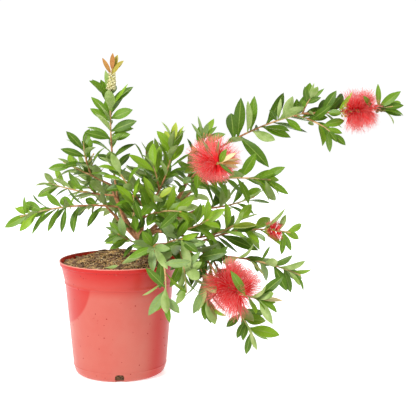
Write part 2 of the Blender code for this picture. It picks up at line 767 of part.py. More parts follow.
def clear_scene():
    for item in list(bpy.data.objects):
        bpy.data.objects.remove(item, do_unlink=True)
    for collection in list(bpy.data.collections):
        bpy.data.collections.remove(collection)


def new_collection(name):
    collection = bpy.data.collections.new(name)
    bpy.context.scene.collection.children.link(collection)
    return collection


def main():
    clear_scene()
    plant = new_collection("potted bottlebrush")
    cutters = new_collection("drain cutters")
    guides = new_collection("guides")
    lines = {}
    space = Space()

    pot = make_pot(plant, cutters)
    compost = make_compost(plant)
    for part in (pot, compost):
        mesh = evaluated_mesh(part)
        space.add(part.name, *plain(mesh))
        bpy.data.meshes.remove(mesh)

    make_trunk(lines, space, guides, plant)
    for limb in BOUGHS:
        make_bough(limb, lines, space, guides, plant)
    stems = {shoot.name: make_stem(shoot, lines, space, guides) for shoot in SHOOTS}
    extras = {shoot.name: [] for shoot in SHOOTS}
    for shoot in SHOOTS:
        if shoot.bloom:
            mesh = bloom_blank(shoot, lines)
            space.add(shoot.name, *plain(mesh))
            extras[shoot.name].append(mesh)
    twigs = {shoot.name: side_twigs(shoot, lines, space, guides) for shoot in SHOOTS}

    blank = leaf_blank()
    total = 0
    for index, shoot in enumerate(SHOOTS):
        grown = grow_leaves(shoot, lines[shoot.name], "stem", blank, space)
        for number, (line, mesh) in enumerate(twigs[shoot.name]):
            extras[shoot.name].append(mesh)
            grown += grow_leaves(shoot, line, f"side {number}", blank, space)
        total += len(grown)
        extras[shoot.name] += [mesh_of(corners, blank[1]) for corners in grown]
        fused = fuse(shoot.name, stems[shoot.name], extras[shoot.name], guides)
        green = LEAF_GREENS[index % len(LEAF_GREENS)]
        place(shoot.name, fused, material(f"{shoot.name} green", green, 0.5), plant)
        if shoot.bloom:
            colour_bloom(fused, shoot, lines)
    print(f"{total} leaves on {len(SHOOTS)} shoots")
    for guide in list(guides.objects):
        bpy.data.objects.remove(guide, do_unlink=True)


main()
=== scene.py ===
# %% [markdown]
# # A bottlebrush shrub in flower, in a red nursery pot
#
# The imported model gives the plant's size, its limbs and the reach of every shoot.
# This lesson puts the finished surfaces on it: a turned plastic pot, heaped compost,
# bark, more than six hundred leaves, and blooms that are nothing but red stamens.
# Lengths are in metres, and a name that holds millimetres is multiplied by MM.

# %% Load the fixed frame
import json
import math
import random
from collections import namedtuple

import bmesh
import bpy
import numpy as np
from mathutils import Matrix, Vector, noise
from mathutils.bvhtree import BVHTree

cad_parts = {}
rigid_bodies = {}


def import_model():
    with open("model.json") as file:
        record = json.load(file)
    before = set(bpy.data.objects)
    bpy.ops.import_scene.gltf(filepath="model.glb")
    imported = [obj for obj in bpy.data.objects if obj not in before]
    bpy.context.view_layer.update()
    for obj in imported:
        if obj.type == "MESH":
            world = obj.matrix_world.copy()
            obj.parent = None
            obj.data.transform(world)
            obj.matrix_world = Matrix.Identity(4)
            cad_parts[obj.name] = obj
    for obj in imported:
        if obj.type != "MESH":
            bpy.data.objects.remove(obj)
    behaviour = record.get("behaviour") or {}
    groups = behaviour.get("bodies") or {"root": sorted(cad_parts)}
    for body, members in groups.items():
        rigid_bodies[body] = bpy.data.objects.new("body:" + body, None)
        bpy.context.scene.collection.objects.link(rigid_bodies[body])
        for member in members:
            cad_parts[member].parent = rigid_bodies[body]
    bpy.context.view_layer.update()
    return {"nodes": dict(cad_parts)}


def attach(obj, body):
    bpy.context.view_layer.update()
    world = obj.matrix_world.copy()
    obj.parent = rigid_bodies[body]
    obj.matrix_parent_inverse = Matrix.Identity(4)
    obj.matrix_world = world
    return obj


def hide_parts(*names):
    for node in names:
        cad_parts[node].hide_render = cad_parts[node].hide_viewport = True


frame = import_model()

MM = 0.001
GOLDEN_TURN = math.radians(137.5)
print(f"{len(frame['nodes'])} nodes in the frame")

# %% [markdown]
# ## Camera, floor and light
#
# The photograph was taken a little above the pot's rim with a long lens, so the pot's
# sides hardly converge. A low camera tilted down by seven degrees gives that view.
# The light is a white studio: an even white surround, one large soft light from the
# upper left, and a weaker one from the right that keeps the shaded side open.

# %% The camera at the photograph's angle
CAMERA_PLACE = (0.1404, -1.6, 0.46)
CAMERA_TILT = math.radians(90 - 7.05)
LENS = 88.83

bpy.ops.object.camera_add(location=CAMERA_PLACE, rotation=(CAMERA_TILT, 0, 0))
camera = bpy.context.object
camera.data.lens = LENS
camera.data.sensor_width = 36
camera.data.clip_end = 50
bpy.context.scene.camera = camera
print("camera", tuple(camera.location))

# %% White surround, floor and two soft lights
SEEN_WHITE = 1.05
SURROUND = 0.5
FLOOR_SIDE = 30
AIM = Vector((0.1, 0, 0.22))
LIGHTS = {
    "key": ((-1.5, -1.9, 2.0), 0.9, 76),
    "fill": ((2.0, -1.6, 0.9), 1.4, 8),
    "back": ((0.4, 2.2, 2.0), 1.4, 34),
}

world = bpy.data.worlds.new("studio")
world.use_nodes = True
surround = world.node_tree.nodes["Background"]
surround.inputs["Color"].default_value = (1, 1, 1, 1)
ray = world.node_tree.nodes.new("ShaderNodeLightPath")
level = world.node_tree.nodes.new("ShaderNodeMapRange")
level.inputs["To Min"].default_value = SURROUND
level.inputs["To Max"].default_value = SEEN_WHITE
world.node_tree.links.new(ray.outputs["Is Camera Ray"], level.inputs["Value"])
world.node_tree.links.new(level.outputs["Result"], surround.inputs["Strength"])
bpy.context.scene.world = world
bpy.context.scene.view_settings.view_transform = "Standard"

for name, (place, side, watts) in LIGHTS.items():
    bpy.ops.object.light_add(type="AREA", location=place)
    light = bpy.context.object
    light.name = name
    light.data.shape = "DISK"
    light.data.size = side
    light.data.energy = watts
    light.rotation_euler = (Vector(place) - AIM).to_track_quat("Z", "Y").to_euler()

bpy.ops.mesh.primitive_plane_add(size=FLOOR_SIDE)
studio_floor = bpy.context.object
studio_floor.name = "studio_floor"
print("lights", ", ".join(LIGHTS))

# %% [markdown]
# ## Modelling helpers
#
# Operators act on whatever is selected, and loading leaves every node selected. So each
# step first picks its one object. Small things that repeat by the hundred are modelled
# once, read as corners and faces, and copied with arrays into one joined mesh.

# %% Pick one object, apply a modifier, read a blank
def only(piece):
    """Makes one object the only selected and the active one."""
    bpy.ops.object.select_all(action="DESELECT")
    piece.select_set(True)
    bpy.context.view_layer.objects.active = piece


def shape_with(piece, kind, **settings):
    """Adds one modifier and applies it at once."""
    only(piece)
    modifier = piece.modifiers.new(kind.title(), kind)
    for setting, value in settings.items():
        setattr(modifier, setting, value)
    bpy.ops.object.modifier_apply(modifier=modifier.name)


def edit(piece, mode="VERT"):
    """Opens a piece in edit mode with all of it selected."""
    only(piece)
    bpy.ops.object.mode_set(mode="EDIT")
    bpy.ops.mesh.select_mode(type=mode)
    bpy.ops.mesh.select_all(action="SELECT")


def select_where(piece, test):
    """Selects, in edit mode, the corners whose place passes a test."""
    bpy.ops.mesh.select_all(action="DESELECT")
    model = bmesh.from_edit_mesh(piece.data)
    for vertex in model.verts:
        vertex.select = test(vertex.co)
    model.select_flush(True)
    bmesh.update_edit_mesh(piece.data)


def take_blank(piece):
    """Reads a small mesh as corners and faces, and removes it."""
    corners = np.array([vertex.co[:] for vertex in piece.data.vertices])
    faces = [tuple(face.vertices) for face in piece.data.polygons]
    bpy.data.objects.remove(piece, do_unlink=True)
    return corners, faces


print("helpers ready")

# %% Join many copies, and make a mesh from arrays
def copies(blank, poses):
    """Corners and faces of many copies of a blank, each in a pose of its own."""
    corners, faces = blank
    poses = np.asarray(poses, float)
    placed = np.einsum("nij,vj->nvi", poses[:, :3, :3], corners) + poses[:, None, :3, 3]
    joined = [tuple(corner + start for corner in face)
              for start in range(0, len(poses) * len(corners), len(corners)) for face in faces]
    return placed.reshape(-1, 3), joined


def mesh_piece(name, corners, faces, materials, slots=None, crease=50):
    """A new object from arrays, smooth except over its creases."""
    mesh = bpy.data.meshes.new(name)
    mesh.from_pydata(np.asarray(corners).tolist(), [], faces)
    for finish in materials:
        mesh.materials.append(finish)
    if slots is not None:
        mesh.polygons.foreach_set("material_index", np.asarray(slots, np.int32))
    piece = bpy.data.objects.new(name, mesh)
    bpy.context.scene.collection.objects.link(piece)
    only(piece)
    bpy.ops.object.shade_smooth_by_angle(angle=math.radians(crease))
    return piece


def hand_over(piece, slot, *nodes):
    """Lets a finished piece ride on the plant and stand for the nodes it covers."""
    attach(piece, "root")
    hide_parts(*nodes)
    print(f"{piece.name}: {len(piece.data.polygons)} faces")


def scatter(name, blank, poses, finish, slot, crease=70):
    """Many posed copies of a blank as one finished piece."""
    hand_over(mesh_piece(name, *copies(blank, poses), [finish], crease=crease), slot)


print("joining ready")

# %% Sweep many tapering tubes at once
def tubes(lines, radii, sides):
    """Corners and faces of tubes along lines: tubes by points by three, and radii."""
    lines = np.asarray(lines, float)
    radii = np.asarray(radii, float)
    count, steps, _ = lines.shape
    heading = np.gradient(lines, axis=1)
    heading /= np.linalg.norm(heading, axis=2, keepdims=True)
    flattest = np.abs(heading.mean(axis=1)).argmin(axis=1)
    reference = np.eye(3)[flattest][:, None, :]
    side = np.cross(heading, reference)
    side /= np.linalg.norm(side, axis=2, keepdims=True)
    up = np.cross(heading, side)
    turns = np.arange(sides) * math.tau / sides
    ring = (np.cos(turns)[:, None] * side[:, :, None, :]
            + np.sin(turns)[:, None] * up[:, :, None, :])
    corners = lines[:, :, None, :] + radii[:, :, None, None] * ring
    number = np.arange(count * steps * sides).reshape(count, steps, sides)
    after = np.roll(number, -1, axis=2)
    walls = np.stack([number[:, :-1], after[:, :-1], after[:, 1:], number[:, 1:]], axis=-1)
    faces = [tuple(face) for face in walls.reshape(-1, 4).tolist()]
    faces += [tuple(face[::-1]) for face in number[:, 0].tolist()]
    faces += [tuple(face) for face in number[:, -1].tolist()]
    return corners.reshape(-1, 3), faces


print("tubes ready")

# %% [markdown]
# ## Shared effects for the materials
#
# Nothing on a plant or a used pot is one flat colour. Three small node groups serve
# nearly every finish: *mottle* mixes two colours by a soft noise, *specks* makes a mask
# of scattered dots, and *veins* draws a leaf's side veins from its own map. Each
# material places the groups with its own values and keeps its own shader.

# %% Node helpers
def add_node(tree, kind, sockets=None, **settings):
    """Adds a node; a socket takes a value, or a link from another node's output."""
    made = tree.nodes.new(kind)
    for setting, value in settings.items():
        setattr(made, setting, value)
    for socket, value in (sockets or {}).items():
        if isinstance(value, bpy.types.NodeSocket):
            tree.links.new(value, made.inputs[socket])
        else:
            made.inputs[socket].default_value = value
    return made


def maths(tree, operation, *terms):
    """One step of arithmetic on numbers or links: the output socket."""
    step = add_node(tree, "ShaderNodeMath", dict(enumerate(terms)), operation=operation)
    return step.outputs[0]


def new_group(name, inputs, outputs):
    """An empty shader group with named sockets: its tree, input and output nodes."""
    group = bpy.data.node_groups.new(name, "ShaderNodeTree")
    for socket, (kind, value) in inputs.items():
        made = group.interface.new_socket(socket, in_out="INPUT", socket_type=kind)
        made.default_value = value
    for socket, kind in outputs.items():
        group.interface.new_socket(socket, in_out="OUTPUT", socket_type=kind)
    return group, group.nodes.new("NodeGroupInput"), group.nodes.new("NodeGroupOutput")


FLOAT = "NodeSocketFloat"
COLOUR = "NodeSocketColor"
print("node helpers ready")

# %% The mottle group: two colours mixed by noise
mottle, given, result = new_group(
    "mottle",
    {"First": (COLOUR, (1, 1, 1, 1)), "Second": (COLOUR, (0, 0, 0, 1)),
     "Scale": (FLOAT, 10.0), "Softness": (FLOAT, 0.2)},
    {"Color": COLOUR, "Mask": FLOAT})
place = add_node(mottle, "ShaderNodeTexCoord")
cloud = add_node(mottle, "ShaderNodeTexNoise",
                 {"Vector": place.outputs["Object"], "Scale": given.outputs["Scale"],
                  "Detail": 5.0, "Roughness": 0.6})
low = maths(mottle, "SUBTRACT", 0.5, given.outputs["Softness"])
high = maths(mottle, "ADD", 0.5, given.outputs["Softness"])
spread = add_node(mottle, "ShaderNodeMapRange",
                  {"Value": cloud.outputs["Fac"], "From Min": low, "From Max": high})
blend = add_node(mottle, "ShaderNodeMix",
                 {"Factor": spread.outputs["Result"], "A": given.outputs["First"],
                  "B": given.outputs["Second"]}, data_type="RGBA")
mottle.links.new(blend.outputs["Result"], result.inputs["Color"])
mottle.links.new(spread.outputs["Result"], result.inputs["Mask"])
print("group mottle")

# %% The specks group: scattered dots
specks, given, result = new_group(
    "specks", {"Scale": (FLOAT, 100.0), "Size": (FLOAT, 0.1), "Share": (FLOAT, 0.2)},
    {"Mask": FLOAT})
place = add_node(specks, "ShaderNodeTexCoord")
cells = add_node(specks, "ShaderNodeTexVoronoi",
                 {"Vector": place.outputs["Object"], "Scale": given.outputs["Scale"]})
dot = maths(specks, "LESS_THAN", cells.outputs["Distance"], given.outputs["Size"])
pick = add_node(specks, "ShaderNodeSeparateColor", {"Color": cells.outputs["Color"]})
chosen = maths(specks, "LESS_THAN", pick.outputs["Red"], given.outputs["Share"])
specks.links.new(maths(specks, "MULTIPLY", dot, chosen), result.inputs["Mask"])
print("group specks")

# %% The veins group: side veins that leave the midrib at a slant
veins, given, result = new_group(
    "veins", {"Pairs": (FLOAT, 11.0), "Slant": (FLOAT, 3.5)}, {"Mask": FLOAT})
place = add_node(veins, "ShaderNodeTexCoord")
axes = add_node(veins, "ShaderNodeSeparateXYZ", {"Vector": place.outputs["UV"]})
VEIN_WIDTH = 0.12
from_rib = maths(veins, "ABSOLUTE", maths(veins, "SUBTRACT", axes.outputs["X"], 0.5))
slant = maths(veins, "MULTIPLY", from_rib, given.outputs["Slant"])
rows = maths(veins, "MULTIPLY", axes.outputs["Y"], given.outputs["Pairs"])
wave = maths(veins, "PINGPONG", maths(veins, "SUBTRACT", rows, slant), 0.5)
thin = add_node(veins, "ShaderNodeMapRange",
                {"Value": wave, "From Min": VEIN_WIDTH, "From Max": 0.0})
veins.links.new(thin.outputs["Result"], result.inputs["Mask"])
print("group veins")

# %% One way to start every material
def new_material(name, **sockets):
    """A Principled material; its tree and shader come back for more nodes."""
    finish = bpy.data.materials.new(name)
    finish.use_nodes = True
    shader = finish.node_tree.nodes["Principled BSDF"]
    for socket, value in sockets.items():
        shader.inputs[socket.replace("_", " ")].default_value = value
    return finish, finish.node_tree, shader


def place_group(tree, group, **values):
    """Places a shared group in a material with the material's own values."""
    return add_node(tree, "ShaderNodeGroup", values, node_tree=group)


def black_and_white(tree, scale, softness):
    """The mask of a mottle alone, without colours."""
    made = place_group(tree, mottle, First=(0, 0, 0, 1), Second=(1, 1, 1, 1), Scale=scale,
                       Softness=softness)
    return made.outputs["Mask"]


def blend_colour(tree, mask, first, second):
    """Two colours mixed by a mask: the output socket."""
    made = add_node(tree, "ShaderNodeMix", {"Factor": mask, "A": first, "B": second},
                    data_type="RGBA")
    return made.outputs["Result"]


def mottled(name, first, second, scale, softness=0.2, bump=0.0, depth=0.0004, **sockets):
    """A material of two mixed colours, whose noise may also lift the surface."""
    finish, tree, shader = new_material(name, **sockets)
    pattern = place_group(tree, mottle, First=(*first, 1), Second=(*second, 1), Scale=scale,
                          Softness=softness)
    tree.links.new(pattern.outputs["Color"], shader.inputs["Base Color"])
    if bump:
        relief = add_node(tree, "ShaderNodeBump",
                          {"Strength": bump, "Distance": depth,
                           "Height": pattern.outputs["Mask"]})
        tree.links.new(relief.outputs["Normal"], shader.inputs["Normal"])
    return finish


floor_finish = mottled("pale floor", (0.93, 0.93, 0.93), (0.91, 0.91, 0.91), 3.0,
                       Roughness=0.8, Emission_Color=(1, 1, 1, 1), Emission_Strength=0.55)
studio_floor.data.materials.append(floor_finish)
print("material starts ready")

# %% [markdown]
# ## The pot
#
# A nursery pot is blown or moulded from thin plastic: a tapered wall, a bead under the
# flared collar, a rolled lip, and notches at the foot where water drains. It could be
# spun from a profile. Here its rings are extruded one above another, up the outside,
# over the lip and down the inside, because that leaves one closed wall with no seam.

# %% The pot's profile
POT_SIDES = 144
FLOOR = 2.0 * MM
FOOT_RADIUS = 64.5
OUTSIDE = (
    (69.8, 3.4), (72.2, 9.0), (73.55, 14.6), (74.05, 15.2), (74.1, 16.2), (73.75, 17.0),
    (85.0, 144.6), (86.3, 145.6), (86.5, 147.6), (86.2, 149.6), (86.3, 150.6),
    (88.6, 162.0), (91.4, 173.4), (93.2, 174.3), (93.5, 175.4), (93.9, 179.8),
)
LIP_ROUND = ((93.6, 180.7), (92.9, 181.0), (92.2, 180.8), (91.9, 180.1))
INSIDE_LEVELS = ((91.9, 174.0), (86.9, 161.6), (84.6, 150.0), (84.5, 145.6), (83.4, 144.6),
                 (72.0, 15.5), (66.0, 4.0), (62.9, 2.0))
EASE = 0.22
EASE_MOST = 0.6


def eased(points):
    """Softens every inner corner of an outline with two points in its place."""
    soft = [points[0]]
    for before, corner, after in zip(points, points[1:], points[2:]):
        for other in (before, after):
            reach = math.dist(corner, other)
            step = min(EASE * reach, EASE_MOST) / reach
            soft.append((corner[0] + step * (other[0] - corner[0]),
                         corner[1] + step * (other[1] - corner[1])))
    return soft + [points[-1]]


def ring_by_ring(name, outline, sides):
    """A turned body: a disc whose rim is extruded, raised and scaled ring after ring."""
    radius, height = outline[0]
    bpy.ops.mesh.primitive_circle_add(vertices=sides, radius=radius * MM, fill_type="NGON",
                                      location=(0, 0, height * MM))
    piece = bpy.context.object
    piece.name = name
    only(piece)
    bpy.ops.object.transform_apply(location=True, rotation=True, scale=True)
    edit(piece, "FACE")
    for (wide, low), (next_wide, next_low) in zip(outline, outline[1:]):
        bpy.ops.mesh.extrude_region_move(
            TRANSFORM_OT_translate={"value": (0, 0, (next_low - low) * MM)})
        ratio = next_wide / wide
        bpy.ops.transform.resize(value=(ratio, ratio, 1), center_override=(0, 0, 0))
    bpy.ops.mesh.select_all(action="SELECT")
    bpy.ops.mesh.normals_make_consistent(inside=False)
    bpy.ops.object.mode_set(mode="OBJECT")
    return piece


pot = ring_by_ring("nursery_pot", eased([(FOOT_RADIUS, 0.0), *OUTSIDE, *LIP_ROUND,
                                         *INSIDE_LEVELS]), POT_SIDES)
print(f"pot wall of {len(pot.data.vertices)} corners")

# %% The drain notches
DRAIN_COUNT = 4
DRAIN_SIZE = Vector((14, 14, 27)) * MM
DRAIN_RADIUS = 69 * MM
DRAIN_TURN = math.radians(-86)
DRAIN_CORNER = 4 * MM

cutters = []
for index in range(DRAIN_COUNT):
    bpy.ops.mesh.primitive_cube_add(size=1, location=(DRAIN_RADIUS, 0, 0), scale=DRAIN_SIZE)
    cutter = bpy.context.object
    bpy.ops.object.transform_apply(location=True, rotation=True, scale=True)
    shape_with(cutter, "BEVEL", width=DRAIN_CORNER, segments=3, affect="EDGES",
               limit_method="ANGLE")
    cutter.data.transform(Matrix.Rotation(DRAIN_TURN + index * math.tau / DRAIN_COUNT, 4, "Z"))
    cutters.append(cutter)
only(cutters[0])
for cutter in cutters:
    cutter.select_set(True)
bpy.ops.object.join()
notches = cutters[0]
shape_with(pot, "BOOLEAN", object=notches, operation="DIFFERENCE", solver="EXACT")
bpy.data.objects.remove(notches, do_unlink=True)
only(pot)
bpy.ops.object.shade_smooth_by_angle(angle=math.radians(40))
print(f"pot with notches: {len(pot.data.polygons)} faces")

# %% [markdown]
# ## The pot's plastic
#
# The plastic is a strong red inside, round the back and on the collar. Light is painted
# into its colour: on the side towards the key light a painted pale salmon reflection lies
# partly on the collar and fully below the bead, while the band under the lip keeps its red
# as painted shade. A round-edged patch at the left is a painted shadow that keeps more of
# the red, the inside is painted a brighter red for light through the thin plastic, and the
# lip's top edge carries a painted highlight. A painted image could show this, but the
# painted light is a product of soft steps in the pot's own coordinates instead, so it has
# no seam. Noise breaks it up, and finer noise dulls the shine.

# %% Where light and shade are painted on the plastic
BEAD_HEIGHT = 0.147
COLLAR_TOP = 0.176
# A painted shadow on the wall: a round patch at the left that keeps more of the red.
SHADE_CENTRE = (-0.125, 0.0, 0.158)
SHADE_RADIUS = 0.088
SHADE_EDGE = 0.002
# The side towards the key light, where the painted reflection is laid.
KEY_LIGHT_SIDE = (-0.42, -0.91, 0.0)
# The heights of a painted highlight along the lip's top edge.
LIP_HIGHLIGHT_BAND = (0.1790, 0.1804)

plastic, tree, shader = new_material("red plastic", Roughness=0.3, Coat_Weight=0.06,
                                     Coat_Roughness=0.1, Specular_IOR_Level=0.22)
place = add_node(tree, "ShaderNodeTexCoord")
axes = add_node(tree, "ShaderNodeSeparateXYZ", {"Vector": place.outputs["Object"]})
height = axes.outputs["Z"]


def soft_step(value, start, end, low=0.0, high=1.0):
    """A mask that goes smoothly from low to high between two values."""
    made = add_node(tree, "ShaderNodeMapRange",
                    {"Value": value, "From Min": start, "From Max": end, "To Min": low,
                     "To Max": high}, interpolation_type="SMOOTHSTEP")
    return made.outputs["Result"]


# Painted reflection and shade by height: none under the lip, where shade falls, rising down the
# collar and full below the bead.
collar_reflection = soft_step(height, COLLAR_TOP, BEAD_HEIGHT, 0.0, 0.42)
reflection_by_height = maths(tree, "MAXIMUM", collar_reflection,
                   soft_step(height, BEAD_HEIGHT + 0.01, BEAD_HEIGHT - 0.018))
# Painted light: only the side that faces the key light gets the painted reflection.
facing = add_node(tree, "ShaderNodeVectorMath",
                  {0: place.outputs["Object"], 1: KEY_LIGHT_SIDE}, operation="DOT_PRODUCT")
lit_side = soft_step(facing.outputs["Value"], 0.012, 0.046, 0.12, 1.0)
# Painted shadow: distance in x and z from the patch's centre; inside the patch less painted
# reflection is laid.
seen_flat = add_node(tree, "ShaderNodeVectorMath",
                     {0: place.outputs["Object"], 1: (1, 0, 1)}, operation="MULTIPLY")
from_centre = add_node(tree, "ShaderNodeVectorMath",
                       {0: seen_flat.outputs["Vector"], 1: SHADE_CENTRE},
                       operation="DISTANCE")
outside_painted_shadow = soft_step(from_centre.outputs["Value"], SHADE_RADIUS - SHADE_EDGE,
                   SHADE_RADIUS + SHADE_EDGE, 0.22, 1.0)
above_bead = soft_step(height, BEAD_HEIGHT - 0.002, BEAD_HEIGHT + 0.001)
lit = maths(tree, "MAXIMUM", outside_painted_shadow, above_bead)
broken = soft_step(black_and_white(tree, 11.0, 0.2), 0.0, 1.0, 0.72, 1.0)
# The painted reflection on the outer wall, broken up by noise.
painted_reflection = maths(tree, "MULTIPLY", maths(tree, "MULTIPLY", reflection_by_height, lit_side),
                  maths(tree, "MULTIPLY", lit, broken))
# A painted highlight: the lip's top edge turns pale pink.
lip_highlight = soft_step(height, *LIP_HIGHLIGHT_BAND, 0.0, 0.85)
# The mask above is painted reflection by height and by the lit side, kept back in a painted shadow
# patch.
print("bleached by height, side and shaded patch")

# %% The red plastic with painted reflection, shadow and highlight
PLASTIC_RED = (0.47, 0.014, 0.01, 1)
# The pale salmon of the painted reflection.
REFLECTION_SALMON = (0.51, 0.135, 0.1, 1)
# The pale pink of the painted highlight on the lip.
LIP_HIGHLIGHT_PINK = (0.76, 0.3, 0.23, 1)
# Painted light: the inside wall is a brighter red, for light that shines through the thin plastic.
INNER_LIT_RED = (0.9, 0.055, 0.04, 1)
SCUFF_RED = (0.3, 0.012, 0.01, 1)

round_axis = add_node(tree, "ShaderNodeVectorMath",
                      {0: place.outputs["Object"], 1: (1, 1, 0)}, operation="MULTIPLY")
outward = add_node(tree, "ShaderNodeVectorMath",
                   {0: round_axis.outputs["Vector"], 1: place.outputs["Normal"]},
                   operation="DOT_PRODUCT")
# Inside, the wall takes the brighter red of painted light.
inside = soft_step(outward.outputs["Value"], -0.02, -0.05)
# The outer wall: the plastic's red with its painted reflection.
outer = blend_colour(tree, painted_reflection, PLASTIC_RED, REFLECTION_SALMON)
body = blend_colour(tree, inside, outer, INNER_LIT_RED)
lipped = blend_colour(tree, lip_highlight, body, LIP_HIGHLIGHT_PINK)
dots = place_group(tree, specks, Scale=230.0, Size=0.22, Share=0.035)
scuffs = place_group(tree, specks, Scale=75.0, Size=0.1, Share=0.06)
marks = maths(tree, "MAXIMUM", dots.outputs["Mask"], scuffs.outputs["Mask"])
marked = blend_colour(tree, marks, lipped, SCUFF_RED)
haze = black_and_white(tree, 60.0, 0.3)
dull = soft_step(haze, 0.0, 1.0, 0.26, 0.38)
ripple = add_node(tree, "ShaderNodeBump",
                  {"Strength": 0.1, "Distance": 0.0004, "Height": haze})
tree.links.new(marked, shader.inputs["Base Color"])
tree.links.new(dull, shader.inputs["Roughness"])
tree.links.new(ripple.outputs["Normal"], shader.inputs["Normal"])
pot.data.materials.append(plastic)
hand_over(pot, "pot_plastic", "pot")

# %% [markdown]
# ## The compost
#
# Potting compost is a heap of dark crumbs, bark chips and pale fibres, highest behind
# the stem. The body is turned ring by ring like the pot, and its top is raised to the
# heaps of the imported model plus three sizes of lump. Loose crumbs, chips and straw are
# then scattered on it, each kind joined into one piece.

# %% The heaped surface as a formula
COMPOST_EDGE = 172.5
COMPOST_SIDES = 200
COMPOST_RINGS = 64
COMPOST_GAP = 0.3
HEAPS = ((-16, 40, 15, 34), (45, 2, 12, 34))
TRUNK_FOOT = Vector((45, 0, 183.7)) * MM
TRUNK_BED = 16 * MM
LUMPS = ((70, 2.8), (210, 1.8), (480, 0.9))


def inner_radius(height):
    """The pot's inner radius in millimetres at a height in millimetres."""
    levels = INSIDE_LEVELS[::-1]
    for (low_radius, low), (high_radius, high) in zip(levels, levels[1:]):
        if low <= height <= high:
            return low_radius + (height - low) / (high - low) * (high_radius - low_radius)
    return levels[-1][0]


RIM_RADIUS = (inner_radius(COMPOST_EDGE) - COMPOST_GAP) * MM


def heap(x, y):
    """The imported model's surface: level at the wall, flat where the trunk stands."""
    rise = sum(height * MM * math.exp(-((x - cx * MM) ** 2 + (y - cy * MM) ** 2)
                                      / (2 * (reach * MM) ** 2))
               for cx, cy, height, reach in HEAPS)
    fade = 1 - min(1, math.hypot(x, y) / RIM_RADIUS) ** 4
    height = COMPOST_EDGE * MM + rise * fade
    away = math.hypot(x - TRUNK_FOOT.x, y - TRUNK_FOOT.y) / TRUNK_BED
    share = min(1, max(0, 2 - away))
    return height + share * (TRUNK_FOOT.z - height)


def ground(x, y):
    """The heap with its lumps, which die away at the wall."""
    calm = 1 - min(1, math.hypot(x, y) / RIM_RADIUS) ** 8
    lumps = sum(size * MM * noise.noise(Vector((x, y, 0.3)) * scale) for scale, size in LUMPS)
    return heap(x, y) + calm * lumps


print(f"compost radius {RIM_RADIUS / MM:.1f} mm")

# %% The compost body
side_levels = [(radius - COMPOST_GAP, level) for radius, level in INSIDE_LEVELS[::-1]
               if FLOOR / MM < level < COMPOST_EDGE]
foot_radius = INSIDE_LEVELS[-1][0] - COMPOST_GAP
surface = [(RIM_RADIUS / MM * (1 - ring / COMPOST_RINGS), COMPOST_EDGE)
           for ring in range(COMPOST_RINGS)]
compost = ring_by_ring("compost_body", [(foot_radius, FLOOR / MM + COMPOST_GAP), *side_levels,
                                        *surface], COMPOST_SIDES)
for vertex in compost.data.vertices:
    if vertex.co.z > (COMPOST_EDGE - 0.1) * MM:
        vertex.co.z = ground(vertex.co.x, vertex.co.y)
soil_finish = mottled("compost crumb", (0.035, 0.018, 0.008), (0.24, 0.13, 0.05), 380,
                      softness=0.1, bump=1.0, depth=0.0012, Roughness=0.95)
compost.data.materials.append(soil_finish)
only(compost)
bpy.ops.object.shade_smooth()
hand_over(compost, "compost", "compost")

# %% Crumbs and bark chips
CRUMB_COUNT = 2600
CHIP_COUNT = 260
CRUMB_SIZES = (0.5, 1.9)
CHIP_SIZES = (2.2, 5.2)
LOOSE_REACH = 0.97
LOOSE_STRETCH = (0.7, 1.3)
LOOSE_TILT = 0.6
LOOSE_SEAT = 0.25


def loose_pose(rng, sizes, flatness):
    """A random pose on the compost: place, turn and size."""
    away = RIM_RADIUS * LOOSE_REACH * math.sqrt(rng.random())
    turn = rng.uniform(0, math.tau)
    x = away * math.cos(turn)
    y = away * math.sin(turn)
    size = rng.uniform(*sizes) * MM
    shape = Matrix.Diagonal((size * rng.uniform(*LOOSE_STRETCH), size, size * flatness, 1))
    spin = Matrix.Rotation(rng.uniform(0, math.tau), 4, "Z")
    tilt = Matrix.Rotation(rng.uniform(-LOOSE_TILT, LOOSE_TILT), 4, "X")
    seat = ground(x, y) + LOOSE_SEAT * size
    return Matrix.Translation((x, y, seat)) @ spin @ tilt @ shape


bpy.ops.mesh.primitive_ico_sphere_add(subdivisions=1, radius=1)
crumb = bpy.context.object
crumb.data.transform(Matrix.Shear("XY", 4, (0.25, -0.3)))
crumb_blank = take_blank(crumb)
bpy.ops.mesh.primitive_cube_add(size=2)
chip = bpy.context.object
edit(chip, "EDGE")
bpy.ops.mesh.bevel(offset=0.5, segments=1, affect="EDGES")
select_where(chip, lambda place: place.x > 0.2)
bpy.ops.transform.resize(value=(1, 0.55, 0.7), center_override=(0, 0, 0))
bpy.ops.object.mode_set(mode="OBJECT")
chip_blank = take_blank(chip)

rng = random.Random("loose compost")
crumb_finish = mottled("dark crumbs", (0.035, 0.019, 0.009), (0.38, 0.22, 0.085), 150,
                       softness=0.06, Roughness=0.9)
poses = [loose_pose(rng, CRUMB_SIZES, 0.8) for _ in range(CRUMB_COUNT)]
scatter("compost_crumbs", crumb_blank, poses, crumb_finish, "compost")
chip_finish = mottled("bark chips", (0.13, 0.065, 0.035), (0.34, 0.2, 0.11), 90,
                      softness=0.1, bump=0.6, Roughness=0.85)
poses = [loose_pose(rng, CHIP_SIZES, 0.28) for _ in range(CHIP_COUNT)]
scatter("compost_chips", chip_blank, poses, chip_finish, "compost", 30)

# %% Pale fibres and straw
STRAW_COUNT = 1100
STRAW_POINTS = 6
STRAW_LENGTHS = (5, 24)
STRAW_RADII = (0.2, 0.55)
STRAW_REACH = 0.96
STRAW_STOP = 0.985
STRAW_BOW = 0.5
STRAW_LIFT = 0.16
STRAW_SEAT = 0.6 * MM

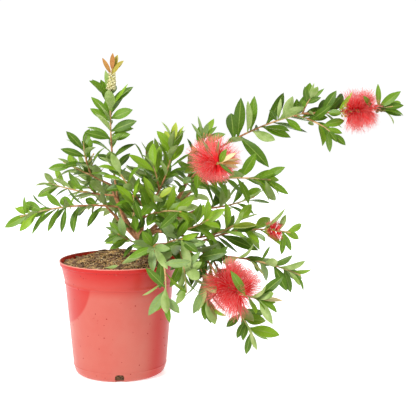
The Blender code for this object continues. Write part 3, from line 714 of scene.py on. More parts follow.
rng = random.Random("straw")
lines = []
radii = []
tones = []
for _ in range(STRAW_COUNT):
    away = RIM_RADIUS * STRAW_REACH * math.sqrt(rng.random())
    turn = rng.uniform(0, math.tau)
    x = away * math.cos(turn)
    y = away * math.sin(turn)
    heading = rng.uniform(0, math.tau)
    reach = rng.uniform(*STRAW_LENGTHS) * MM
    bow = rng.uniform(-STRAW_BOW, STRAW_BOW)
    lift = rng.uniform(0, STRAW_LIFT)
    strand = []
    for step in range(STRAW_POINTS):
        share = step / (STRAW_POINTS - 1) - 0.5
        angle = heading + bow * share
        px = x + reach * share * math.cos(angle)
        py = y + reach * share * math.sin(angle)
        kept = min(1, RIM_RADIUS * STRAW_STOP / math.hypot(px, py))
        px *= kept
        py *= kept
        rise = lift * reach * (share + 0.5) ** 2
        strand.append((px, py, ground(px, py) + STRAW_SEAT + rise))
    lines.append(strand)
    radii.append([rng.uniform(*STRAW_RADII) * MM] * STRAW_POINTS)
    tones.append(rng.choice((0, 0, 1, 2)))
straw_finishes = [
    mottled("pale straw", (0.72, 0.46, 0.17), (0.5, 0.28, 0.09), 70, Roughness=0.7),
    mottled("brown fibre", (0.28, 0.15, 0.07), (0.14, 0.07, 0.035), 70, Roughness=0.85),
    mottled("bleached fibre", (0.84, 0.66, 0.36), (0.62, 0.42, 0.2), 70, Roughness=0.75),
]
corners, faces = tubes(lines, radii, 4)
walls = (STRAW_POINTS - 1) * 4
slots = [tone for tone in tones for _ in range(walls)] + tones + tones
straw = mesh_piece("compost_straw", corners, faces, straw_finishes, slots)
hand_over(straw, "compost")

# %% [markdown]
# ## The plant's lines
#
# Every limb leaves a point on its parent and runs in one bend to its own tip, as in the
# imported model: a short leaning trunk, a dozen boughs, and shoots that carry the leaves.
# The same table of named places is read here, so every twig and leaf grows on from the
# packed limbs and keeps within the same reach.

# %% The limbs and shoots by name
Limb = namedtuple("Limb", "name parent along tip bow base_radius tip_radius")
Shoot = namedtuple("Shoot", "name parent along tip bow leaf sides bloom")
Bloom = namedtuple("Bloom", "along length radius")

TRUNK = Limb("trunk", None, 0.0, (32, 2, 224), (-3, 0, 2), 6.2, 4.6)
BOUGHS = (
    Limb("bough_leader", "trunk", 0.45, (-2, 4, 280), (-6, 2, -6), 3.4, 2.3),
    Limb("bough_upper_left", "trunk", 0.80, (-15, 28, 296), (-3, 9, -9), 3.0, 2.1),
    Limb("bough_middle", "trunk", 1.0, (47, -6, 263), (-3, -2, 0), 3.3, 2.4),
    Limb("bough_long_low", "trunk", 0.72, (112, 27, 314), (6, 2, -9), 3.6, 2.8),
    Limb("bough_long_high", "bough_long_low", 1.0, (161, 33, 356), (0, 0, 3), 2.7, 2.1),
    Limb("bough_right", "trunk", 0.55, (131, 34, 257), (0, 11, 4), 3.2, 2.2),
    Limb("bough_low_right", "trunk", 0.94, (127, -28, 212), (0, -7, 9), 2.8, 2.0),
    Limb("bough_lower", "trunk", 0.22, (149, -62, 196), (0, -12, 12), 3.4, 2.2),
    Limb("bough_front", "trunk", 0.36, (56, -58, 205), (0, -4, 8), 2.8, 2.0),
    Limb("bough_back", "trunk", 0.66, (38, 88, 262), (0, 6, 6), 3.2, 2.2),
    Limb("bough_back_right", "trunk", 0.30, (95, 88, 262), (0, 8, 8), 3.0, 2.2),
    Limb("bough_back_left", "trunk", 0.20, (-22, 76, 250), (-4, 8, 2), 3.0, 2.2),
)
SHOOTS = (
    Shoot("shoot_top", "bough_leader", 1.0, (-8, 0, 477), (-6, 0, 0), 44, 0, Bloom(0.90, 26, 4.5)),
    Shoot("shoot_young_front", "bough_middle", 0.9, (-8, -18, 338), (2, -4, -5), 38, 0, None),
    Shoot("shoot_upper_left", "bough_upper_left", 1.0, (-88, 38, 330), (0, 0, 0), 40, 1, None),
    Shoot("shoot_upper_left_spur", "shoot_upper_left", 0.42, (-56, 24, 362), (-3, 0, 2),
          40, 1, None),
    Shoot("shoot_left_middle", "bough_upper_left", 0.82, (-114, 50, 296), (0, 2, -4), 40, 0, None),
    Shoot("shoot_left_long", "bough_leader", 0.8, (-148, -20, 252), (0, 0, 8), 40, 0, None),
    Shoot("shoot_inner_left", "bough_leader", 0.35, (26, -36, 284), (4, -6, 0), 40, 0, None),
    Shoot("shoot_centre_up", "bough_middle", 1.0, (85, -8, 374), (10, 0, 0), 46, 1, None),
    Shoot("shoot_centre_back", "bough_middle", 0.7, (41, 50, 345), (0, 8, 0), 44, 1, None),
    Shoot("shoot_centre_flower", "bough_long_low", 0.8, (161, -110, 342), (-2, 0, 10), 40, 0,
          Bloom(0.82, 48, 33)),
    Shoot("shoot_crown_right", "bough_long_low", 0.96, (134, 10, 377), (4, 0, 0), 46, 0, None),
    Shoot("shoot_right_arm", "bough_long_low", 0.88, (236, 8, 306), (0, 0, 5), 46, 0, None),
    Shoot("shoot_long_branch", "bough_long_high", 1.0, (290, 30, 409), (0, 0, 6), 58, 0, None),
    Shoot("shoot_long_up", "shoot_long_branch", 1.0, (305, 24, 437), (-2, 0, 0), 40, 0, None),
    Shoot("shoot_long_drop", "shoot_long_branch", 0.9, (336, 16, 378), (3, 0, 4), 44, 0, None),
    Shoot("shoot_long_tip", "shoot_long_branch", 1.0, (428, 20, 420), (0, 0, -2), 46, 0,
          Bloom(0.63, 54, 33)),
    Shoot("shoot_right_middle", "bough_right", 1.0, (213, 44, 274), (0, 0, -4), 46, 1, None),
    Shoot("shoot_right_bright", "bough_low_right", 0.85, (192, -48, 252), (6, 0, -6), 46, 0, None),
    Shoot("shoot_small_flower", "bough_low_right", 1.0, (264, -36, 229), (0, 0, 11), 44, 0,
          Bloom(0.84, 26, 17)),
    Shoot("shoot_lower_right", "bough_lower", 1.0, (276, -90, 173), (0, 0, 7), 42, 0, None),
    Shoot("shoot_low_flower", "bough_lower", 0.86, (222, -134, 147), (-4, -10, -18), 44, 0,
          Bloom(0.58, 66, 38)),
    Shoot("shoot_lowest", "bough_lower", 0.96, (207, -84, 80), (2, 4, -6), 50, 0, None),
    Shoot("shoot_under_flower", "bough_lower", 0.6, (140, -92, 130), (6, -8, 16), 50, 0, None),
    Shoot("shoot_pot_front", "bough_front", 1.0, (77, -112, 136), (8, -16, 22), 46, 0, None),
    Shoot("shoot_front_tuft", "bough_front", 0.86, (60, -94, 216), (0, 0, 0), 38, 0, None),
    Shoot("shoot_low_left", "trunk", 0.36, (4, -42, 226), (0, 0, -2), 36, 0, None),
    Shoot("shoot_centre_front", "bough_middle", 0.55, (98, -75, 266), (0, -6, 6), 44, 0, None),
    Shoot("shoot_centre_low", "bough_lower", 0.34, (101, -88, 226), (0, 0, 2), 44, 0, None),
    Shoot("shoot_centre_right", "bough_low_right", 0.5, (139, -70, 252), (0, 0, -4), 46, 0, None),
    Shoot("shoot_centre_middle", "bough_middle", 0.8, (66, -48, 284), (0, -4, 0), 42, 0, None),
    Shoot("shoot_right_hang", "bough_lower", 0.46, (108, -98, 150), (4, -10, 18), 48, 0, None),
    Shoot("shoot_back_up", "bough_back", 0.84, (60, 84, 346), (0, 6, 0), 44, 1, None),
    Shoot("shoot_back_left", "bough_back_left", 1.0, (-70, 118, 318), (0, 0, -8), 42, 1, None),
    Shoot("shoot_back_low_left", "bough_back_left", 0.8, (-24, 142, 262), (0, 4, 0), 44, 1, None),
    Shoot("shoot_back_middle", "bough_back", 1.0, (34, 160, 300), (0, 0, 6), 44, 1, None),
    Shoot("shoot_back_right", "bough_back_right", 1.0, (142, 130, 318), (0, 0, -6), 44, 1, None),
    Shoot("shoot_back_low", "bough_back_right", 0.7, (92, 150, 228), (0, 4, 8), 46, 1, None),
)
print(f"{len(BOUGHS)} boughs and {len(SHOOTS)} shoots")

# %% Bends, and points along them
LINE_POINTS = 40
FLARE_HEIGHT = 9 * MM


def bend(start, tip, bow):
    """Points along one bend, whose middle stands off the straight line by bow."""
    middle = (start + tip) / 2 + 2 * bow
    shares = [index / (LINE_POINTS - 1) for index in range(LINE_POINTS)]
    return [(1 - s) ** 2 * start + 2 * s * (1 - s) * middle + s ** 2 * tip for s in shares]


def line_length(points):
    return sum((b - a).length for a, b in zip(points, points[1:]))


def along(points, share):
    """The point and direction at a share of a line's length."""
    left = share * line_length(points)
    for a, b in zip(points, points[1:]):
        step = (b - a).length
        if left <= step or b is points[-1]:
            return a + (b - a) * min(1.0, left / step), (b - a).normalized()
        left -= step


def across(direction):
    """Two directions across a line, the first as level as it can be."""
    side = direction.cross(Vector((0, 0, 1)))
    if side.length < 0.05:
        side = direction.cross(Vector((1, 0, 0)))
    side.normalize()
    return side, side.cross(direction).normalized()


def outward_at(direction, turn):
    """The way off a line at a turn round it."""
    side, up = across(direction)
    return math.cos(turn) * side + math.sin(turn) * up


paths = {"trunk": bend(TRUNK_FOOT + Vector((0, 0, FLARE_HEIGHT)), Vector(TRUNK.tip) * MM,
                       Vector(TRUNK.bow) * MM)}
for limb in BOUGHS + SHOOTS:
    start, _ = along(paths[limb.parent], limb.along)
    paths[limb.name] = bend(start, Vector(limb.tip) * MM, Vector(limb.bow) * MM)
print(f"{len(paths)} lines, {sum(map(line_length, paths.values())):.2f} m in all")

# %% [markdown]
# ## Trunk and boughs
#
# Where a bough leaves the trunk the wood runs from one into the other in a swollen
# collar. Tubes pushed into each other would show a hard line there, so all the limbs
# are swept as tubes and then remeshed into one skin, which is smoothed and given its
# bark: ridges that wander along the limb, and fine flakes.

# %% Tubes for the limbs, swollen at the foot and at each collar
LIMB_SIDES = 12
COLLAR = 0.45
COLLAR_SHARE = 0.10
FLARE = 0.55
FLARE_SHARE = 0.22
ROOTS = 5
ROOT_REACH = 15 * MM
ROOT_RADII = (3.0, 1.2)
ROOT_TURN = 0.4


def swollen(base, tip, swell, reach):
    """Radii that fall from base to tip, with a swelling at the start."""
    shares = np.linspace(0, 1, LINE_POINTS)
    return (base + (tip - base) * shares) * (1 + swell * np.exp(-(shares / reach) ** 2)) * MM


trunk_line = [TRUNK_FOOT + Vector((0, 0, -2 * MM))] + paths["trunk"][1:]
limb_lines = [trunk_line] + [paths[limb.name] for limb in BOUGHS]
limb_radii = [swollen(TRUNK.base_radius, TRUNK.tip_radius, FLARE, FLARE_SHARE)]
limb_radii += [swollen(limb.base_radius, limb.tip_radius, COLLAR, COLLAR_SHARE)
               for limb in BOUGHS]
for index in range(ROOTS):
    turn = ROOT_TURN + index * math.tau / ROOTS
    outward = Vector((math.cos(turn), math.sin(turn), 0))
    start = TRUNK_FOOT + Vector((0, 0, 7 * MM)) + outward * 2 * MM
    tip = TRUNK_FOOT + outward * ROOT_REACH + Vector((0, 0, -3 * MM))
    limb_lines.append(bend(start, tip, Vector((0, 0, -1.6 * MM))))
    limb_radii.append(swollen(*ROOT_RADII, 0.0, 1.0))
corners, faces = tubes(limb_lines, limb_radii, LIMB_SIDES)
limbs = mesh_piece("trunk_and_boughs", corners, faces, [])
print(f"{len(limb_lines)} limb tubes")

# %% One skin, and the bark's relief
SKIN_VOXEL = 0.62 * MM
RIDGES = ((260, 0.22), (900, 0.12))
RIDGE_STRETCH = 0.35
LICHEN = (0.42, 0.33, 0.23, 1)
LICHEN_VEIL = 0.16

shape_with(limbs, "REMESH", mode="VOXEL", voxel_size=SKIN_VOXEL)
shape_with(limbs, "SMOOTH", factor=0.5, iterations=4)
outward = [vertex.normal.copy() for vertex in limbs.data.vertices]
for vertex, lift in zip(limbs.data.vertices, outward):
    stretched = Vector((vertex.co.x, vertex.co.y, vertex.co.z * RIDGE_STRETCH))
    relief = sum(size * noise.noise(stretched * scale) for scale, size in RIDGES)
    vertex.co += lift * relief * MM
bark_finish, tree, shader = new_material("young bark", Roughness=0.78)
wood = place_group(tree, mottle, First=(0.19, 0.06, 0.02, 1), Second=(0.52, 0.23, 0.085, 1),
                   Scale=230.0, Softness=0.14)
veil = maths(tree, "MULTIPLY", black_and_white(tree, 55.0, 0.08), LICHEN_VEIL)
weathered = blend_colour(tree, veil, wood.outputs["Color"], LICHEN)
flakes = add_node(tree, "ShaderNodeBump",
                  {"Strength": 0.7, "Distance": 0.0005, "Height": wood.outputs["Mask"]})
tree.links.new(weathered, shader.inputs["Base Color"])
tree.links.new(flakes.outputs["Normal"], shader.inputs["Normal"])
limbs.data.materials.append(bark_finish)
only(limbs)
bpy.ops.object.shade_smooth()
hand_over(limbs, "trunk_bark", "trunk", *[limb.name for limb in BOUGHS])

# %% [markdown]
# ## Room for leaves
#
# Leaves on a real plant lie over each other but never through each other. Each leaf is
# therefore tried with a coarse copy of itself. If that crosses a limb, a bloom's core
# or another leaf, the leaf is turned a little and tried again, and left out in the end.

# %% The room test
class Room:
    """Coarse copies of all that is placed, with their boxes in one array."""

    def __init__(self, most):
        self.boxes = np.zeros((most, 2, 3))
        self.trees = []
        self.owners = []

    def add(self, owner, corners, faces):
        self.boxes[len(self.trees)] = corners.min(axis=0), corners.max(axis=0)
        self.trees.append(BVHTree.FromPolygons(corners.tolist(), faces))
        self.owners.append(owner)

    def blocked(self, corners, faces, owner):
        """Tells whether the faces cross anything that belongs to another owner."""
        boxes = self.boxes[:len(self.trees)]
        near = (boxes[:, 0] <= corners.max(axis=0)).all(axis=1)
        near &= (boxes[:, 1] >= corners.min(axis=0)).all(axis=1)
        tree = BVHTree.FromPolygons(corners.tolist(), faces)
        return any(self.owners[index] != owner and tree.overlap(self.trees[index])
                   for index in np.flatnonzero(near))


ROOM_ROUND_POT = 2 * MM
ROOM_OVER_COMPOST = 2 * MM
POT_TOP = 181 * MM
POT_RIM = 93.9 * MM
WELL_ABOVE = 200 * MM


def in_pot(point):
    """Tells whether a point lies in the pot or on its compost."""
    if math.hypot(point[0], point[1]) > POT_RIM + ROOM_ROUND_POT or point[2] > WELL_ABOVE:
        return False
    return point[2] < max(POT_TOP + ROOM_OVER_COMPOST,
                          heap(point[0], point[1]) + ROOM_OVER_COMPOST)


ROOM_MOST = 4000
room = Room(ROOM_MOST)
for line, radius in zip(limb_lines, limb_radii):
    corners, faces = tubes([line[::6]], [radius[::6]], 6)
    room.add("limbs", corners, faces)
print(f"{len(room.trees)} limbs fill the room so far")

# %% [markdown]
# ## Twigs
#
# A shoot's stem and its side twigs are thin and pliable: red-brown where they leave the
# bough, tan in the middle, and green or pink where they grew this season. Leaf scars
# make small knots on them. The colours are three plain finishes, dealt out by how far
# a face is along its twig.

# %% The stems' radii and side twigs
TWIG_RADIUS = 1.65
TWIG_TAPER = 0.62
TWIG_SIDES = 8
KNOT_SPACING = 7 * MM
KNOT = 0.13
SIDE_FIRST = 0.30
SIDE_EVERY = 0.28
SIDE_SCATTER = 0.04
SIDE_ANGLE = math.radians(42)
SIDE_SHARE = 0.5
SIDE_SHORTEST = 20 * MM
SIDE_THICKNESS = 0.8
SIDE_BOW = -0.05
SIDE_TRIES = 10


def knotted(line, base, tip):
    """Radii along a twig, with a small knot at every leaf scar."""
    shares = np.linspace(0, 1, LINE_POINTS)
    knots = line_length(line) / KNOT_SPACING
    wave = 0.5 + 0.5 * np.cos(math.tau * shares * knots)
    return (base + (tip - base) * shares) * (1 + KNOT * wave ** 3) * MM


twigs = {}
for shoot in SHOOTS:
    line = paths[shoot.name]
    radii = knotted(line, TWIG_RADIUS, TWIG_RADIUS * TWIG_TAPER)
    twigs[shoot.name] = [(line, radii)]
    corners, faces = tubes([line[::3]], [radii[::3]], 4)
    room.add(shoot.name, corners, faces)
for shoot in SHOOTS:
    stem = paths[shoot.name]
    for index in range(shoot.sides):
        chance = random.Random(f"{shoot.name} side {index}")
        share = SIDE_FIRST + SIDE_EVERY * index + chance.uniform(-SIDE_SCATTER, SIDE_SCATTER)
        start, direction = along(stem, share)
        reach = max(SIDE_SHORTEST, SIDE_SHARE * (1 - share) * line_length(stem))
        first_turn = chance.uniform(0, math.tau)
        for attempt in range(SIDE_TRIES):
            outward = outward_at(direction, first_turn + attempt * GOLDEN_TURN)
            heading = math.cos(SIDE_ANGLE) * direction + math.sin(SIDE_ANGLE) * outward
            line = bend(start, start + reach * heading, SIDE_BOW * reach * outward)
            radii = knotted(line, TWIG_RADIUS, TWIG_RADIUS * TWIG_TAPER) * SIDE_THICKNESS
            corners, faces = tubes([line[::3]], [radii[::3]], 4)
            if not (room.blocked(corners, faces, shoot.name) or any(map(in_pot, corners))):
                room.add(shoot.name, corners, faces)
                twigs[shoot.name].append((line, radii))
                break
print(f"{sum(map(len, twigs.values()))} twigs")

# %% The twigs' mesh and finishes
OLD_SHARE = 0.45
YOUNG_SHARE = 0.78
twig_finishes = [
    mottled("old twig", (0.26, 0.09, 0.035), (0.55, 0.27, 0.1), 260, softness=0.15,
            bump=0.5, Roughness=0.75),
    mottled("tan twig", (0.44, 0.2, 0.07), (0.66, 0.43, 0.19), 220, softness=0.2,
            bump=0.3, Roughness=0.65),
    mottled("young twig", (0.42, 0.4, 0.13), (0.5, 0.3, 0.15), 90, softness=0.2, Roughness=0.5),
]
all_twigs = [twig for grown in twigs.values() for twig in grown]
corners, faces = tubes([[tuple(point) for point in line] for line, _ in all_twigs],
                       [radii for _, radii in all_twigs], TWIG_SIDES)
step_tones = [0 if share < OLD_SHARE else 1 if share < YOUNG_SHARE else 2
              for share in np.linspace(0, 1, LINE_POINTS - 1)]
slots = [tone for _ in all_twigs for tone in step_tones for _ in range(TWIG_SIDES)]
slots += [0] * len(all_twigs) + [2] * len(all_twigs)
twig_piece = mesh_piece("twigs", corners, faces, twig_finishes, slots)
hand_over(twig_piece, "leafy_shoots")

# %% [markdown]
# ## One leaf, modelled once
#
# A bottlebrush leaf is a stiff lance: narrow at the foot, widest past its middle, and
# pointed. It is folded along a pale midrib and paler underneath. A grid three faces
# wide is scaled row by row to that outline, doubled, sunk in the middle and welded at
# the edge, so it is closed and still has under fifty faces.

# %% The leaf blank
LEAF_ROWS = 8
RIB_HALF_WIDTH = 0.05
OUTLINE = (0.14, 0.32, 0.66, 0.91, 1.0, 0.97, 0.81, 0.48, 0.0)


def leaf_blank():
    """A leaf one long and two wide, with its thickness told by z alone."""
    bpy.ops.mesh.primitive_grid_add(x_subdivisions=3, y_subdivisions=LEAF_ROWS, size=2)
    leaf = bpy.context.object
    edit(leaf)
    select_where(leaf, lambda place: abs(place.x) < 0.5)
    bpy.ops.transform.resize(value=(3 * RIB_HALF_WIDTH, 1, 1), center_override=(0, 0, 0))
    for row, wide in enumerate(OUTLINE):
        height = 2 * row / LEAF_ROWS - 1
        select_where(leaf, lambda place: abs(place.y - height) < 0.01)
        bpy.ops.transform.resize(value=(wide, 1, 1), center_override=(0, 0, 0))
    bpy.ops.mesh.select_all(action="SELECT")
    bpy.ops.mesh.duplicate()
    bpy.ops.transform.translate(value=(0, 0, -1))
    bpy.ops.mesh.flip_normals()
    model = bmesh.from_edit_mesh(leaf.data)
    for vertex in model.verts:
        edge = max(abs(other.co.x) for other in model.verts
                   if abs(other.co.y - vertex.co.y) < 0.01)
        if abs(abs(vertex.co.x) - edge) < 0.001:
            vertex.co.z = 0
    bmesh.update_edit_mesh(leaf.data)
    bpy.ops.mesh.select_all(action="SELECT")
    bpy.ops.mesh.remove_doubles(threshold=0.0001)
    bpy.ops.mesh.normals_make_consistent(inside=False)
    bpy.ops.object.mode_set(mode="OBJECT")
    corners = np.array([vertex.co[:] for vertex in leaf.data.vertices])
    kinds = []
    for face in leaf.data.polygons:
        middle = abs(face.center.x) < RIB_HALF_WIDTH * 0.6
        kinds.append((1 if middle else 0) if face.normal.z > 0 else 2)
    blank = take_blank(leaf)
    corners[:, 1] = (corners[:, 1] + 1) / 2
    return (corners, blank[1]), kinds


leaf_shape, leaf_kinds = leaf_blank()
print(f"leaf of {len(leaf_shape[1])} faces")

# %% [markdown]
# ## Bending a leaf into place
#
# Each copy of the blank gets its own length, width, fold along the midrib, droop and
# twist. The droop follows a curve whose angle grows towards the tip, so the leaf keeps
# its length while it bends. All of it is a few array sums over the blank's corners.

# %% Fit a leaf shape to its own pose
Leaf = namedtuple("Leaf", "foot axis face length width fold droop twist tone")
LEAF_THICKNESS = 0.42 * MM
COARSE_SHAPE = (np.array([(0, 0, 0), (-0.9, 0.5, 0), (0, 0.5, 0), (0.9, 0.5, 0), (0, 1, 0)],
                         float),
                [(0, 2, 1), (0, 3, 2), (1, 2, 4), (2, 3, 4)])
CURVE_STEPS = 24
DROOP_POWER = 1.5


def fit_leaf(shape, leaf):
    """Corners of a leaf shape, folded, drooped and twisted along its own axis."""
    x, y, z = shape.T
    steps = np.linspace(0, 1, CURVE_STEPS + 1)
    angle = leaf.droop * steps ** DROOP_POWER
    ahead = np.concatenate(([0], np.cumsum(np.cos(angle[1:])))) / CURVE_STEPS
    down = np.concatenate(([0], np.cumsum(np.sin(angle[1:])))) / CURVE_STEPS
    bend_angle = leaf.droop * y ** DROOP_POWER
    half = x * leaf.width / 2
    lift = np.abs(half) * math.sin(leaf.fold) + z * LEAF_THICKNESS
    flat = half * math.cos(leaf.fold)
    turn = leaf.twist * y
    sideways = flat * np.cos(turn) - lift * np.sin(turn)
    upward = flat * np.sin(turn) + lift * np.cos(turn)
    forward = np.interp(y, steps, ahead) * leaf.length + upward * np.sin(bend_angle)
    height = upward * np.cos(bend_angle) - np.interp(y, steps, down) * leaf.length
    axis = np.array(leaf.axis)
    face = np.array(leaf.face)
    side = np.cross(axis, face)
    return (np.array(leaf.foot) + sideways[:, None] * side + forward[:, None] * axis
            + height[:, None] * face)


print("leaves can be bent")

# %% [markdown]
# ## Leaves along the shoots
#
# Leaves follow each other round the stem by the golden turn, wide apart at the foot and
# crowded at the tip, and they lean closer to the stem the nearer they are to it. They
# are smaller at both ends. The upper face is turned partly towards the sky, as a living
# leaf does, with some scatter, and young leaves at the tips are lighter or bronze.

# %% Where leaves stand
LEAF_SPACING = 8.4 * MM
LEAF_CROWDING = 0.42
TUFT_CROWDING = 0.5
INNER_SPACING = 0.82
BARE_STEM = 0.07
LEAF_ANGLE_BASE = math.radians(60)
LEAF_ANGLE_TIP = math.radians(24)
LEAF_SLENDER = 0.345
LEAF_SINK = 0.3 * MM
LEAF_TRIES = 10
TRY_TURN = 0.7
SKYWARD = 0.6
SHADED_SKYWARD = 0.3
SHADE_HEIGHTS = (0.17, 0.28)
LOW_SPACING = 1.2
SINGLED_SPACING = 1.6
SINGLED = ("shoot_long_branch", "shoot_long_up", "shoot_long_tip", "shoot_pot_front",
           "shoot_lowest")
BLOOM_BARE = 0.92
LAST_SHARE = 0.985
LAST_SHARE_UNDER_TUFT = 0.9
TUFTED = ("shoot_top", "shoot_centre_flower")
SIZE_AT_FOOT = (0.72, 1.6)
SIZE_AT_TIP = (0.66, 1.4)


def in_bloom(shoot, share, length):
    """Tells whether a share of a stem is inside its bloom, where no leaves grow."""
    return shoot.bloom is not None and (
        abs(share - shoot.bloom.along) < 0.5 * shoot.bloom.length * MM / length * BLOOM_BARE)


def leaf_shares(shoot, length):
    """The shares of a twig's length at which leaves stand."""
    shares = []
    share = BARE_STEM
    last = LAST_SHARE_UNDER_TUFT if shoot.name in TUFTED else LAST_SHARE
    while share < last:
        if not in_bloom(shoot, share, length):
            shares.append(share)
        step = LEAF_SPACING / length * (1 - LEAF_CROWDING * share)
        if "centre" in shoot.name or "back" in shoot.name:
            step *= INNER_SPACING
        if shoot.parent in ("bough_lower", "bough_low_right", "bough_front"):
            step *= LOW_SPACING
        if shoot.name in SINGLED:
            step *= SINGLED_SPACING
        if shoot.bloom is not None and share > shoot.bloom.along:
            step *= TUFT_CROWDING
        share += step
    return shares


def leaf_size(share):
    """A leaf's size by its share of the twig: smaller towards both ends."""
    at_foot, from_foot = SIZE_AT_FOOT
    at_tip, from_tip = SIZE_AT_TIP
    return min(1, at_foot + from_foot * share) * min(1, at_tip + from_tip * (1 - share))


print("leaf places ready")

# %% Grow the leaves of one twig
TONES = ("deep", "middle", "fresh", "lime", "sage", "olive", "bronze", "blush")
SAGE_SHOOTS = ("shoot_pot_front", "shoot_front_tuft", "shoot_low_left", "shoot_centre_low",
               "shoot_right_hang", "shoot_under_flower", "shoot_lower_right")
SAGE_SHARE = 0.5
SKY_LEAN = 0.85
CROWN_MIDDLE = 60 * MM
CROWN_HALF = 40 * MM
TONE_SCATTER = 0.4
TONE_STEPS = ((1.16, "lime"), (0.72, "fresh"), (0.3, "middle"))
LEAF_SCATTER = (0.88, 1.12)
LEAN_SCATTER = 0.28
LEAF_ROLL = 0.7
LEAF_FOLDS = (0.1, 0.4)
LEAF_DROOPS = (-0.3, 0.9, 0.2)
LEAF_TWIST = 0.5
TIP_CLEARANCE = 0.04
YOUTH = {"shoot_centre_middle": 0.25, "shoot_right_bright": 0.3, "shoot_centre_up": 0.15,
         "shoot_pot_front": -0.15, "shoot_low_left": 0.2, "shoot_long_branch": -0.25,
         "shoot_long_drop": -0.2, "shoot_lowest": -0.3, "shoot_lower_right": -0.3,
         "shoot_left_long": -0.3, "shoot_right_hang": -0.15, "shoot_long_tip": -0.1,
         "shoot_top": -0.1, "shoot_upper_left": -0.1, "shoot_under_flower": -0.2}


def leaf_tone(shoot, share, chance):
    """A tone by place: deep inside and on old shoots, fresh or lime at young tips."""
    young = share + chance.triangular(-TONE_SCATTER, TONE_SCATTER, 0)
    young += YOUTH.get(shoot.name, 0)
    if shoot.name in SAGE_SHOOTS and chance.random() < SAGE_SHARE:
        return "sage"
    return next((tone for least, tone in TONE_STEPS if young > least), "deep")


def towards_light(foot):
    """Up and outwards: leaves in front lean forwards, and those behind lean back."""
    front = min(1, max(-1, (CROWN_MIDDLE - foot.y) / CROWN_HALF))
    return Vector((-0.1, -SKY_LEAN * front, 1)).normalized()


def skyward(height):
    """How far a leaf turns to the light: less low down, in the crown's own shade."""
    low, high = SHADE_HEIGHTS
    share = min(1, max(0, (height - low) / (high - low)))
    return SHADED_SKYWARD + (SKYWARD - SHADED_SKYWARD) * share


def try_leaf(shoot, line, share, index, label):
    """A leaf that stands clear of all that is there, or None."""
    chance = random.Random(f"{shoot.name} {label} leaf {index}")
    foot, direction = along(line, share)
    reach = shoot.leaf * MM * leaf_size(share) * chance.uniform(*LEAF_SCATTER)
    width = reach * LEAF_SLENDER * chance.uniform(*LEAF_SCATTER)
    lean = (LEAF_ANGLE_BASE + (LEAF_ANGLE_TIP - LEAF_ANGLE_BASE) * share ** 2
            + chance.uniform(-LEAN_SCATTER, LEAN_SCATTER))
    roll = chance.uniform(-LEAF_ROLL, LEAF_ROLL)
    fold = chance.uniform(*LEAF_FOLDS)
    droop = chance.triangular(*LEAF_DROOPS)
    twist = chance.uniform(-LEAF_TWIST, LEAF_TWIST)
    tone = leaf_tone(shoot, share, chance)
    for attempt in range(LEAF_TRIES):
        turn = index * GOLDEN_TURN + attempt * TRY_TURN * (-1) ** attempt
        outward = outward_at(direction, turn)
        axis = math.cos(lean) * direction + math.sin(lean) * outward
        face = math.sin(lean) * direction - math.cos(lean) * outward
        face = Matrix.Rotation(roll, 3, axis) @ face
        face = face.lerp(towards_light(foot), skyward(foot.z))
        face = (face - face.dot(axis) * axis).normalized()
        leaf = Leaf(foot + outward * LEAF_SINK, axis, face, reach, width, fold, droop, twist,
                    tone)
        coarse = fit_leaf(COARSE_SHAPE[0], leaf)
        if any(map(in_pot, coarse)):
            continue
        clear = coarse + TIP_CLEARANCE * (coarse[4] - coarse[0])
        if not room.blocked(clear, COARSE_SHAPE[1], shoot.name + label):
            room.add(shoot.name + label + str(index), clear, COARSE_SHAPE[1])
            return leaf
    return None


print(f"{len(TONES)} leaf tones")

# %% [markdown]
# ## Leaves that are seen one by one
#
# Rule-grown leaves make a believable bush, but not this one. Some leaves tell it apart:
# the bronze tuft at the very top, the blades in front of the big blooms, the cream young
# growth beside one, and those whose outlines stand against the white. Like a limb, each
# is given by the point where it leaves its stem and the place of its own tip. They are
# placed first, so the rest make room.

